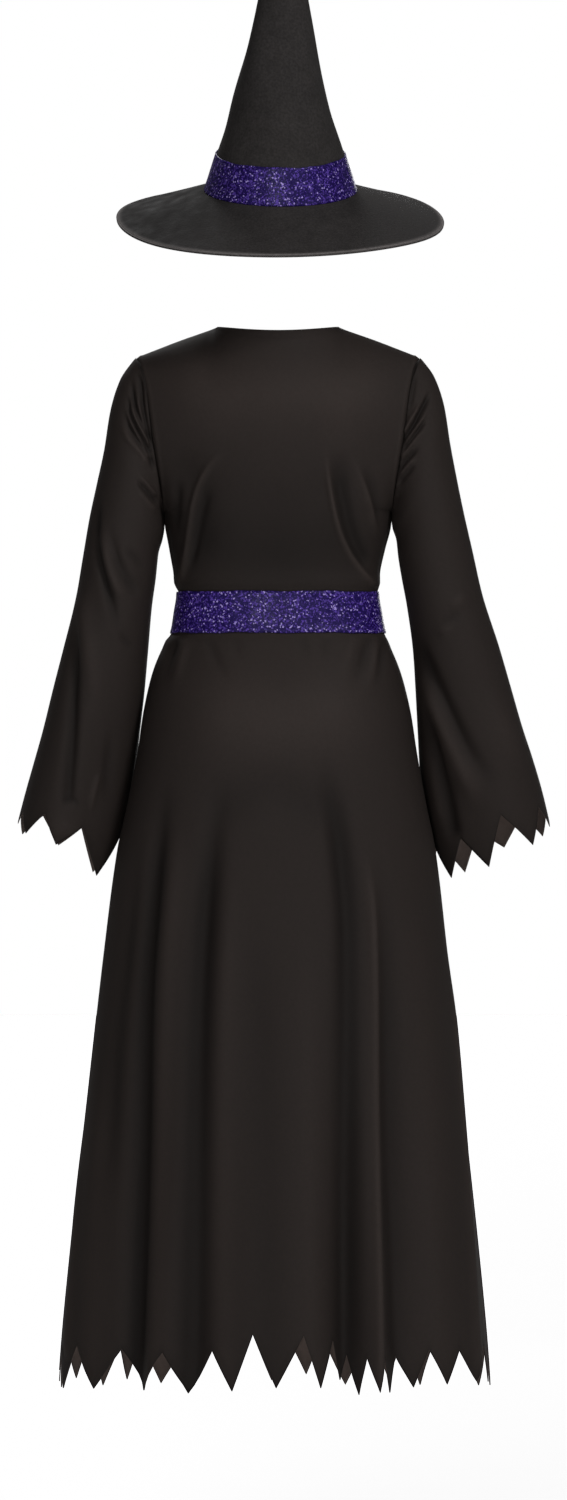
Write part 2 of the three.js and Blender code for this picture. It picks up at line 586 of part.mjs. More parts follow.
function sleevePoint(side, turn, down) {
  const wrapped = (turn + 360) % 360;
  const facing = wrapped <= 180 ? 1 : -1;
  const seam = armholePoint(facing, facing > 0 ? wrapped / 180 : 2 - wrapped / 180);
  const fade = 1 - easeInOut(clamp01(down / SEAM_FADE));
  const point = sleeveOval(side, turn, down);
  point.addScaledVector(seam.sub(sleeveOval(side, turn, 0)), fade);
  point.x += SEAM_GAP;
  const middle = sleeveOval(side, 0, down).add(sleeveOval(side, 180, down)).multiplyScalar(0.5);
  const out = point.clone().sub(middle).normalize();
  return point.addScaledVector(out, sleeveFold(wrapped, down));
}

// Columns of the lower sleeve that end at the tips and the notches of the cuff, with a
// column between each two
function cuffColumns(side) {
  const teeth = CUFF_POINTS[side];
  const last = teeth.at(-1);
  const corners = [{ turn: last.notch - 360, down: last.notchDown }];
  for (const tooth of teeth) {
    corners.push({ turn: tooth.tip, down: tooth.tipDown }, { turn: tooth.notch, down: tooth.notchDown });
  }
  return corners.slice(0, -1).flatMap((corner, k) => {
    const next = corners[k + 1];
    return [corner, { turn: (corner.turn + next.turn) / 2, down: (corner.down + next.down) / 2 }];
  });
}

function sleeveRow(side, columns, down, pattern) {
  const way = (down - SLEEVE_PATTERN_START) / (SLEEVE_PATTERN_FULL - SLEEVE_PATTERN_START);
  const drawn = pattern ? 1 : easeInOut(clamp01(way));
  const corners = cuffColumns(side);
  const surface = (u, v) => sleevePoint(side, u, v);
  const row = [];
  for (let j = 0; j < columns; j += 1) {
    const even = (360 * j) / columns;
    const turn = columns === SLEEVE_COLUMNS ? even : THREE.MathUtils.lerp(even, corners[j].turn, drawn);
    const reach = pattern ? corners[j].down : down;
    const inward = outward(surface, turn, reach, TURN_STEP, DOWN_STEP).negate();
    row.push({ outer: sleevePoint(side, turn, reach), inward });
  }
  return row;
}

function sleeve(side) {
  const seamRow = [];
  for (let j = 0; j < SLEEVE_COLUMNS; j += 1) {
    const turn = (360 * j) / SLEEVE_COLUMNS;
    const inward = new THREE.Vector3(0, -Math.sin(radians(turn)), -Math.cos(radians(turn)));
    seamRow.push({ outer: sleevePoint(side, turn, 0), inward });
  }
  const rows = [seamRow];
  for (const down of SLEEVE_NARROW_ROWS) rows.push(sleeveRow(side, SLEEVE_COLUMNS, down, false));
  for (const down of SLEEVE_WIDE_ROWS) rows.push(sleeveRow(side, 2 * SLEEVE_COLUMNS, down, false));
  rows.push(sleeveRow(side, 2 * SLEEVE_COLUMNS, 0, true));
  if (side === "left") return wallGeometry(rows, DRESS_WALL, true);
  for (const row of rows) {
    for (const { outer, inward } of row) {
      outer.x *= -1;
      inward.x *= -1;
    }
    row.reverse();
  }
  return wallGeometry(rows, DRESS_WALL, true);
}

// The belt goes once round from the middle of the front, then on over its own start.
function belt() {
  const round = 2 * NARROW_COLUMNS;
  const rows = [];
  for (const z of [BELT_TOP, BELT_MIDDLE, BELT_FOOT]) {
    const row = [];
    for (let k = 0; k <= round + BELT_LAP_COLUMNS; k += 1) {
      const place = (BELT_START + k / NARROW_COLUMNS) % 2;
      const panel = place < 1 ? "back" : "front";
      const out = panelOutward(panel, place % 1, wayOfLevel(z));
      const level = k < round ? 1 : 2;
      const lift = level * (LYING_GAP + BELT_WALL);
      const outer = bodyPoint(panel, place % 1, z).addScaledVector(out, lift);
      row.push({ outer, inward: out.clone().negate() });
    }
    rows.push(row);
  }
  return wallGeometry(rows, BELT_WALL, false);
}

// A closed solid turned round the hat's axis, from a profile of radii and heights that
// climbs on the outside
function turned(profile, sides) {
  const points = profile.map(([radius, height]) => new THREE.Vector2(radius, height));
  return new THREE.LatheGeometry(points, sides).rotateX(Math.PI / 2);
}

function hatCrown() {
  const hollow = CROWN_RADII.filter(({ radius }) => radius > CROWN_SOLID_RADIUS);
  const inside = hollow.map(({ z, radius }) => [radius - FELT_WALL, z + SEAM_GAP]);
  const outside = CROWN_RADII.map(({ z, radius }) => [radius, z + SEAM_GAP]);
  const hollowTop = [0, inside.at(-1)[1] + CROWN_SOLID_RADIUS];
  return turned([hollowTop, ...inside.reverse(), ...outside], CROWN_SIDES);
}

// The brim hangs a little and its edge waves a little. The crown stands on its root.
function hatBrim() {
  const root = CROWN_RADII[0].radius;
  const inner = root - FELT_WALL;
  const upper = [];
  for (let i = 0; i <= BRIM_ROWS; i += 1) {
    const radius = THREE.MathUtils.lerp(inner, BRIM_RADIUS, i / BRIM_ROWS);
    const out = clamp01((radius - root) / (BRIM_RADIUS - root));
    upper.push([radius, -BRIM_DROOP * out ** BRIM_CURVE]);
  }
  const lower = upper.map(([radius, height]) => [radius, height - FELT_WALL]);
  const geometry = turned([...lower, ...upper.reverse(), lower[0]], BRIM_SIDES);
  const places = geometry.getAttribute("position");
  for (let i = 0; i < places.count; i += 1) {
    const [x, y] = [places.getX(i), places.getY(i)];
    const out = clamp01((Math.hypot(x, y) - root) / (BRIM_RADIUS - root));
    const wave = Math.sin(BRIM_WAVES * Math.atan2(y, x) + BRIM_WAVE_TURN);
    places.setZ(i, places.getZ(i) + BRIM_WAVE * out * out * wave);
  }
  geometry.computeVertexNormals();
  return geometry;
}

// The hat's band follows the crown and stands just clear of the brim.
function hatBand() {
  const radiusAt = (z) => tableAt(CROWN_RADII, "z", "radius", z - SEAM_GAP) + LYING_GAP;
  const foot = SEAM_GAP + LYING_GAP;
  const heights = CROWN_RADII.map(({ z }) => z + SEAM_GAP).filter((z) => z > foot && z < HAT_BAND_WIDTH);
  const inside = [foot, ...heights, HAT_BAND_WIDTH].map((z) => [radiusAt(z), z]);
  const outside = inside.map(([radius, z]) => [radius + BAND_WALL, z]);
  return turned([...outside, ...inside.reverse(), outside[0]], CROWN_SIDES);
}

function add(parent, name, geometry, finish) {
  const mesh = new THREE.Mesh(geometry, new THREE.MeshStandardMaterial(finish));
  mesh.name = name;
  parent.add(mesh);
}

const costume = new THREE.Group();
add(costume, "dress_back", dressPanel("back"), FINISHES.dress);
add(costume, "dress_front", dressPanel("front"), FINISHES.dress);
add(costume, "sleeve_left", sleeve("left"), FINISHES.dress);
add(costume, "sleeve_right", sleeve("right"), FINISHES.dress);
add(costume, "belt", belt(), FINISHES.glitter);

const hat = new THREE.Group();
hat.position.set(HAT_PLACE.x, HAT_PLACE.y, HAT_PLACE.z);
hat.rotation.set(radians(-HAT_TILT), radians(HAT_ROLL), 0);
add(hat, "hat_crown", hatCrown(), FINISHES.felt);
add(hat, "hat_brim", hatBrim(), FINISHES.felt);
add(hat, "hat_band", hatBand(), FINISHES.glitter);
costume.add(hat);

export default costume;
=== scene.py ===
# %% [markdown]
# # A witch costume seen from behind
#
# The costume is a long dress of smooth black knit with bell sleeves and a jagged hem, a
# wide belt of violet glitter cloth, and a tall pointed felt hat with a band of the same
# glitter cloth. The solids of the part are the frame: they say where each piece lies.
# Here every piece is made again as thin cloth, with its folds, its seams and its finish.
#
# The shapes are worked out in millimetres, which is how a maker measures cloth, and they
# become metres only when a mesh is made.

# %% Load the frame
import math
import bpy
import numpy as np
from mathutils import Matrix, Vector


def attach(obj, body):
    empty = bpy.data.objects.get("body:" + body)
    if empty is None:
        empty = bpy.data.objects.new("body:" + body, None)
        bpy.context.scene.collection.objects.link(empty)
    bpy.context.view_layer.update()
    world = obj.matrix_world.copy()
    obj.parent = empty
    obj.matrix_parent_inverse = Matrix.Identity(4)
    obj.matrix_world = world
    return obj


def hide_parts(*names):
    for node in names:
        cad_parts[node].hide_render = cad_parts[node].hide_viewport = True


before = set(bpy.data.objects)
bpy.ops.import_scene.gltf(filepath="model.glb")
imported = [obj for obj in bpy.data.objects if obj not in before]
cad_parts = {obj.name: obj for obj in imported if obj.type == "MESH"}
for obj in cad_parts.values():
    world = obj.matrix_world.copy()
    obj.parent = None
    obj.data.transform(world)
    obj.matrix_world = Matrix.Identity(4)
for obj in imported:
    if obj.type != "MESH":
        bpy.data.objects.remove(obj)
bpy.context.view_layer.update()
MM = 0.001
print("nodes", sorted(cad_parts))

# %% [markdown]
# ## Camera and light
#
# The view is level, from behind the costume, with a long lens, so that the skirt's foot
# and the hat are seen from the same height and nothing bulges. One pixel of the picture is
# 1.25 mm at the costume. The distance could be anything far away; 12 m keeps the front of
# the hem from growing much smaller than its back.

# %% Camera
PICTURE_HEIGHT = 1.875
CAMERA_DISTANCE = 12.0
CAMERA_AIM = Vector((-0.0069, 0.0, -0.5225))

lens = bpy.data.cameras.new("view_from_behind")
lens.sensor_width = 36.0
lens.lens = lens.sensor_width * CAMERA_DISTANCE / PICTURE_HEIGHT
lens.clip_end = 200.0
camera = bpy.data.objects.new("view_from_behind", lens)
camera.location = CAMERA_AIM + Vector((0.0, CAMERA_DISTANCE, 0.0))
camera.rotation_euler = (math.radians(90), 0.0, math.radians(180))
bpy.context.scene.collection.objects.link(camera)
bpy.context.scene.camera = camera
print("lens", round(lens.lens, 1), "mm")

# %% [markdown]
# The costume is almost black, so its shape is told by broad soft lights that its cloth
# gives back faintly. The strongest stands high on the right, and a weaker one beside the
# camera fills the shadows in. Two more light the front for other views. The surround is
# white to the eye but gives only a small part of that light, or else the folds would fade.

# %% Lights
LIGHT_AIM = Vector((0, 0, -0.5))
SURROUND_SHOWN, SURROUND_LIGHT = 1.0, 0.09


def soft_light(name, place, size, watts):
    """A soft lamp that points at the middle of the costume."""
    lamp = bpy.data.lights.new(name, "AREA")
    lamp.shape = "RECTANGLE"
    lamp.size, lamp.size_y = size
    lamp.energy = watts
    holder = bpy.data.objects.new(name, lamp)
    holder.location = place
    holder.rotation_euler = (LIGHT_AIM - Vector(place)).to_track_quat("-Z", "Y").to_euler()
    bpy.context.scene.collection.objects.link(holder)


soft_light("key_high_right", (-2.6, 3.7, 3.2), (1.2, 1.2), 138)
soft_light("fill_behind_camera", (0.9, 5.6, 0.4), (1.2, 2.0), 72)
soft_light("front_high_left", (0.9, -3.9, 3.6), (1.4, 1.4), 130)
soft_light("front_fill_right", (-1.0, -5.2, 0.4), (1.2, 2.0), 40)

world = bpy.data.worlds.new("white_surround")
bpy.context.scene.world = world
world.use_nodes = True
nodes, links = world.node_tree.nodes, world.node_tree.links
nodes.clear()


def white_background(strength):
    node = nodes.new("ShaderNodeBackground")
    node.inputs["Color"].default_value = (1, 1, 1, 1)
    node.inputs["Strength"].default_value = strength
    return node.outputs["Background"]


either = nodes.new("ShaderNodeMixShader")
links.new(nodes.new("ShaderNodeLightPath").outputs["Is Camera Ray"], either.inputs["Fac"])
links.new(white_background(SURROUND_LIGHT), either.inputs[1])
links.new(white_background(SURROUND_SHOWN), either.inputs[2])
links.new(either.outputs["Shader"], nodes.new("ShaderNodeOutputWorld").inputs["Surface"])

bpy.context.scene.view_settings.view_transform = "Standard"
bpy.context.scene.view_settings.look = "None"

# %% [markdown]
# ## Tables and curves
#
# The body of the dress is a stack of rounded sections. Each section is a row of a short
# table, whose columns have names. A smooth curve runs through each column, so that one
# number can be changed without bending the rest. Cloth is measured along its surface, so
# every section is then divided evenly by length, not by angle.

# %% Curves through a table's columns
def named_rows(names, rows):
    """A table: its rows, with a name for each column."""
    return [dict(zip(names.split(), row)) for row in rows]


def smooth_column(table, place, name, at):
    """A curve through one column that doesn't overshoot between its rows."""
    x = np.array([row[place] for row in table], float)
    y = np.array([row[name] for row in table], float)
    width = np.diff(x)
    slope = np.diff(y) / width
    tangent = np.empty_like(y)
    tangent[0], tangent[-1] = slope[0], slope[-1]
    before, after = slope[:-1], slope[1:]
    same_way = before * after > 0
    total = np.where(same_way, before + after, 1.0)
    tangent[1:-1] = np.where(same_way, 2 * before * after / total, 0.0)
    at = np.asarray(at, float)
    i = np.clip(np.searchsorted(x, at, side="right") - 1, 0, len(width) - 1)
    t = (at - x[i]) / width[i]
    s = np.clip(t, 0, 1)
    rise = s * s * (3 - 2 * s)
    value = y[i] * (1 - rise) + y[i + 1] * rise
    value += width[i] * (tangent[i] * s * (1 - s) ** 2 - tangent[i + 1] * s * s * (1 - s))
    value += np.minimum(t, 0) * tangent[i] * width[i]
    value += np.maximum(t - 1, 0) * tangent[i + 1] * width[i]
    return value


def ease(share):
    s = np.clip(share, 0, 1)
    return s * s * (3 - 2 * s)


def unit(vectors):
    return vectors / np.maximum(np.linalg.norm(vectors, axis=-1, keepdims=True), 1e-9)


def hill(at, middle, width):
    """1 at the middle, and softly down to 0 on both sides of it."""
    return np.exp(-(((at - middle) / width) ** 2))


def waves(rows, turn, along=0):
    """A sum of gentle waves, each with its height, its waves round and along, and its start."""
    return sum(height * np.sin(round_ * turn + down * along + start)
               for height, round_, down, start in rows)


def way_along(points, axis=0):
    """How far each point lies along its line of points."""
    steps = np.linalg.norm(np.diff(points, axis=axis), axis=-1)
    return np.insert(np.cumsum(steps, axis=axis), 0, 0, axis=axis)


def divided_by_length(points, shares):
    """Points at shares of a curve's length."""
    length = way_along(points)
    wanted = np.asarray(shares) * length[-1]
    return np.stack([np.interp(wanted, length, points[:, k]) for k in range(3)], axis=1)


print("a quarter of the way from 0 to 1 eases to", float(ease(0.25)))

# %% [markdown]
# ## The form of the dress
#
# Below the armpits each section of the body is a rounded oval. Above them the panel is
# stretched from one armhole to the other, up to the shoulder seams and the neckline. The
# numbers are those of the solids, so the cloth lies where they lie.

# %% Sizes of the dress
NECK_HALF_WIDTH, NECK_SIDE_HEIGHT = 76, 6
NECK_REACH = {"back": 58, "front": 72}
NECK_DROP = {"back": 0, "front": 55}
ARMHOLE_TOP, ARMPIT, ARMHOLE_REACH = 31, 225, 48
SHOULDER_SHARE, TOP_SETTLE = 0.25, 0.5
YOKE_SQUARE, YOKE_SQUARE_START = 2.4, 0.45
BELT_TOP, BELT_FOOT = -325, -377
SEAM_GAP, LYING_GAP = 0.4, 0.5

ARMHOLE_SIDES = named_rows("z side", [
    (-225, 141),
    (-196, 146),
    (-130, 157),
    (-71, 165),
    (-31, 177),
])
BODY_LEVELS = named_rows("z half back front shift square", [
    (-1345, 271, 205, 198, 4.5, 2.05),
    (-1265, 265.5, 199, 193, 4.5, 2.05),
    (-1147, 254.5, 188, 183, 4.4, 2.05),
    (-950, 233.5, 168, 166, 4, 2.05),
    (-772, 214.5, 150, 151, 3, 2.1),
    (-647, 199, 134, 139, 2, 2.1),
    (-590, 187, 127, 132, 1.5, 2.15),
    (-524, 174.5, 119.5, 124, 1, 2.2),
    (-480, 168, 113, 118, 1.2, 2.2),
    (-439, 159, 104, 112.5, 1.6, 2.2),
    (-416, 151.8, 97, 109, 1.8, 2.2),
    (-386, 138, 88, 104, 1.5, 2.2),
    (-377, 132.7, 84.5, 101, 0, 2.2),
    (-351, 128, 80.5, 99.5, 0, 2.2),
    (-325, 124.3, 78, 101, 0, 2.2),
    (-316, 127, 81.5, 105, 1, 2.25),
    (-297, 130, 84, 108, 1.6, 2.3),
    (-272, 135, 87, 110, 1, 2.3),
    (-245, 139.5, 89, 109, 0, 2.35),
    (-225, 141, 90, 106, 0, 2.4),
])
YOKE_CENTRES = named_rows("down back front backZ frontZ", [
    (0, 58, 72, 0, -55),
    (0.25, 74, 84, -56, -92),
    (0.5, 84, 95, -112, -138),
    (0.75, 89, 103, -169, -182),
    (1, 90, 106, -225, -225),
])
FACING = {"back": 1, "front": -1}
print("the hem is", 2 * BODY_LEVELS[0]["half"], "mm wide")

# %% Sections of the body
OUTLINE_ANGLES = np.linspace(0, math.pi, 181)
FORM_SHARES = np.linspace(0, 1, 241)
YOKE_STEP, BODY_STEP = 0.02, 4.0
SOFTER_EACH_ROW, SOFTEST = 3, 24  # how often the yoke's rows are smoothed
FORM_FOOT = -1350


def body_section(panel, z):
    """One panel's section below the armpits, from its left side seam for the back."""
    facing = FACING[panel]
    half, reach, shift, square = (
        float(smooth_column(BODY_LEVELS, "z", name, z)) for name in ("half", panel, "shift", "square")
    )
    turn = np.cos(OUTLINE_ANGLES)
    across = np.sign(turn) * np.abs(turn) ** (2 / square)
    out = np.abs(np.sin(OUTLINE_ANGLES)) ** (2 / square)
    x = shift + facing * half * across
    points = np.stack([x, facing * reach * out, np.full_like(x, z)], axis=1)
    return divided_by_length(points, FORM_SHARES)


def armhole_point(facing, down):
    """The armhole seam of the left side, from the shoulder at 0 to the armpit at 1."""
    down = np.asarray(down, float)
    z = -(ARMHOLE_TOP + ARMPIT) / 2 + (ARMPIT - ARMHOLE_TOP) / 2 * np.cos(math.pi * down)
    x = smooth_column(ARMHOLE_SIDES, "z", "side", z)
    return np.stack([x, facing * ARMHOLE_REACH * np.sin(math.pi * down), z], axis=-1)


def top_edge(panel, shares):
    """The shoulder seam, the neckline and the other shoulder seam."""
    facing = FACING[panel]
    side = np.where(shares < 0.5, facing, -facing)
    from_side = np.minimum(shares, 1 - shares)
    shoulder = armhole_point(facing, 0)
    t = np.clip(from_side / SHOULDER_SHARE, 0, 1)
    turn = math.pi / 2 * np.clip((from_side - SHOULDER_SHARE) / (0.5 - SHOULDER_SHARE), 0, 1)
    on_seam = from_side < SHOULDER_SHARE
    seam_x = shoulder[0] + (NECK_HALF_WIDTH - shoulder[0]) * t
    x = np.where(on_seam, seam_x, NECK_HALF_WIDTH * np.cos(turn))
    y = np.where(on_seam, 0, facing * NECK_REACH[panel] * np.sin(turn))
    seam_z = shoulder[2] + (NECK_SIDE_HEIGHT - shoulder[2]) * t
    neck_z = NECK_SIDE_HEIGHT - (NECK_SIDE_HEIGHT + NECK_DROP[panel]) * np.sin(turn) ** 2
    return np.stack([side * x, y, np.where(on_seam, seam_z, neck_z)], axis=1)


def yoke_section(panel, down):
    """One panel's section above the armpits: down is 0 at the top edge and 1 at them."""
    facing = FACING[panel]
    edge = armhole_point(facing, down)
    centre_y = float(smooth_column(YOKE_CENTRES, "down", panel, down))
    centre_z = float(smooth_column(YOKE_CENTRES, "down", panel + "Z", down))
    squareness = float(ease((down - YOKE_SQUARE_START) / (1 - YOKE_SQUARE_START)))
    spread = 1 + (2 / YOKE_SQUARE - 1) * squareness
    inner = 2 + (YOKE_SQUARE - 2) * squareness
    outer = 1 + (1 / YOKE_SQUARE - 1) * squareness
    turn = np.cos(OUTLINE_ANGLES)
    across = np.sign(turn) * np.abs(turn) ** spread
    rise = (1 - np.abs(across) ** inner) ** outer
    y = facing * (abs(edge[1]) + (centre_y - abs(edge[1])) * rise)
    z = centre_z + (edge[2] - centre_z) * across**2
    points = np.stack([facing * edge[0] * across, y, z], axis=1)
    section = divided_by_length(points, FORM_SHARES)
    settled = math.sin(math.pi / 2 * min(down / TOP_SETTLE, 1))
    top = top_edge(panel, FORM_SHARES)
    return top + (section - top) * settled


def softened(rows):
    """The yoke's rows without the kink that the ends of the neckline send down them."""
    soft = rows.copy()
    for i in range(1, len(rows)):
        for _ in range(min(SOFTER_EACH_ROW * i, SOFTEST)):
            soft[i, 1:-1] += (soft[i, :-2] - 2 * soft[i, 1:-1] + soft[i, 2:]) / 4
    return soft


yoke_downs = np.arange(0, 1 - YOKE_STEP / 2, YOKE_STEP)
body_heights = np.arange(-ARMPIT, FORM_FOOT, -BODY_STEP)
panel_form = {
    panel: np.concatenate([
        softened(np.array([yoke_section(panel, d) for d in yoke_downs])),
        np.array([body_section(panel, z) for z in body_heights]),
    ])
    for panel in FACING
}


def form_row(z):
    """The row of the form's table at a height below the armpits."""
    return len(yoke_downs) + (-ARMPIT - np.asarray(z, float)) / BODY_STEP


def on_form(panel, share, row):
    """Points of a panel's smooth form, at shares of its width and rows of its table."""
    table = panel_form[panel]
    u = np.clip(share, 0, 1) * (len(FORM_SHARES) - 1)
    v = np.clip(row, 0, len(table) - 1)
    j = np.minimum(u.astype(int), len(FORM_SHARES) - 2)
    i = np.minimum(v.astype(int), len(table) - 2)
    a, b = (u - j)[..., None], (v - i)[..., None]
    upper = table[i, j] * (1 - a) + table[i, j + 1] * a
    lower = table[i + 1, j] * (1 - a) + table[i + 1, j + 1] * a
    return upper * (1 - b) + lower * b


for part, z in (("waist", -351), ("hem", -1300)):
    print(part, round(sum(way_along(body_section(panel, z))[-1] for panel in FACING)), "mm round")

# %% [markdown]
# ## Folds
#
# Cloth that hangs from a belt falls in flutes, which start softly at the seat and deepen
# towards the hem. Where it is pulled, at the armholes and the waist, it makes short narrow
# creases. A simulation would make folds of its own, in other places than the real ones, so
# each fold is listed one by one: a path in the plane that one sees, a width and a depth. A
# ridge stands out and a trough has a negative depth. No two have the same size.

# %% Laying a fold along a path
PATH_STEPS = 60
FOLD_REACH = 2.6  # in widths
FINE_FOLD, FINE_FOLD_MOST = 9.0, 2.2  # folds narrower than this are shaded up to so much more
FOLD_COLUMNS = "path width end_width depth fade_in fade_out"


def smooth_path(corners):
    """A smooth line through a fold's few corners, each (out to the left, up)."""
    rows = [dict(at=k, x=corner[0], z=corner[1]) for k, corner in enumerate(corners)]
    at = np.linspace(0, len(corners) - 1, PATH_STEPS)
    return np.stack([smooth_column(rows, "at", name, at) for name in ("x", "z")], axis=1)


def distance_to_path(places, path):
    """How far places lie from a path, and at which share of its length they are next to it."""
    apart = ((places[:, None, :] - path[None]) ** 2).sum(axis=2)
    nearest = apart.argmin(axis=1)
    distance = np.full(len(places), np.inf)
    along = np.zeros(len(places))
    for first in (nearest - 1, nearest):
        first = np.clip(first, 0, PATH_STEPS - 2)
        start, step = path[first], path[first + 1] - path[first]
        t = np.clip(((places - start) * step).sum(axis=1) / (step**2).sum(axis=1), 0, 1)
        away = np.linalg.norm(places - start - step * t[:, None], axis=1)
        along = np.where(away < distance, (first + t) / (PATH_STEPS - 1), along)
        distance = np.minimum(distance, away)
    return distance, along


def lay_folds(x, z, folds):
    """How far folds push the cloth out, where x and z are places in the plane one sees.

    A fold has a path, a width, a depth, and the shares of its length over which it fades
    in and out. Where it doesn't fade, its end is round. Its width may grow on its way.
    The second result is the same with fine folds made stronger, for the shade: little
    light gets into a narrow crease."""
    height, shade = np.zeros_like(x), np.zeros_like(x)
    for fold in folds:
        path = smooth_path(fold["path"])
        width = np.linspace(fold["width"], fold["end_width"], PATH_STEPS)
        reach = FOLD_REACH * width.max()
        near = (
            (x > path[:, 0].min() - reach) & (x < path[:, 0].max() + reach)
            & (z > path[:, 1].min() - reach) & (z < path[:, 1].max() + reach)
        )
        if not near.any():
            continue
        away, along = distance_to_path(np.stack([x[near], z[near]], axis=1), path)
        width_there = np.interp(along, np.linspace(0, 1, PATH_STEPS), width)
        strength = ease(along / fold["fade_in"]) if fold["fade_in"] else 1
        strength = strength * ease((1 - along) / fold["fade_out"]) if fold["fade_out"] else strength
        push = fold["depth"] * strength * hill(away, 0, width_there)
        height[near] += push
        shade[near] += push * np.clip(FINE_FOLD / width_there, 1, FINE_FOLD_MOST)
    return height, shade


one_fold = named_rows(FOLD_COLUMNS, [([(0, 0), (0, -100)], 4, 4, 3, 0, 0)])
deep, dark = lay_folds(np.array([0.0]), np.array([-50.0]), one_fold)
print("a fold 3 mm deep and 4 mm wide is", deep[0], "deep and shaded as", dark[0])

# %% [markdown]
# The skirt's flutes run from side seam to side seam, so they are placed by their share of
# the width: 0 to 1 over the back, from the left side seam to the right one, and 1 to 2 over
# the front. These are the large folds that the solids have too.

# %% The skirt's flutes
FLUTE_FULL = -1265
FLUTES = named_rows("place lean width depth top", [
    (0.09, 0, 0.1, 6, -760),
    (0.245, 0.03, 0.1, -12, -640),
    (0.32, 0.01, 0.09, 7, -700),
    (0.385, 0.01, 0.09, -9, -720),
    (0.5, 0, 0.16, 5, -800),
    (0.625, 0, 0.07, -13, -700),
    (0.675, 0, 0.06, 12, -680),
    (0.728, 0, 0.08, -13, -620),
    (0.865, 0.01, 0.12, 9, -690),
    (1.1, 0, 0.12, 8, -700),
    (1.19, -0.01, 0.1, -11, -640),
    (1.3, 0, 0.12, 9, -720),
    (1.4, 0.01, 0.1, -12, -650),
    (1.5, 0, 0.12, 8, -760),
    (1.61, -0.01, 0.1, -13, -660),
    (1.71, 0, 0.12, 9, -700),
    (1.81, 0.01, 0.1, -10, -690),
    (1.91, 0, 0.1, 6, -740),
])


def flute_height(flutes, place, round_length, way, full):
    """How far flutes push the cloth out. They start at their tops and grow until full."""
    height = np.zeros_like(way)
    for flute in flutes:
        grown = np.clip((way - flute["top"]) / (full - flute["top"]), 0, 1)
        away = np.abs(place - flute["place"] - flute.get("lean", 0) * (1 - grown))
        away = np.clip(np.minimum(away, round_length - away) / flute["width"], 0, 1)
        height += flute["depth"] * ease(grown) * np.cos(math.pi / 2 * away) ** 2
    return height


print(len(FLUTES), "flutes, the deepest", min(f["depth"] for f in FLUTES), "mm")

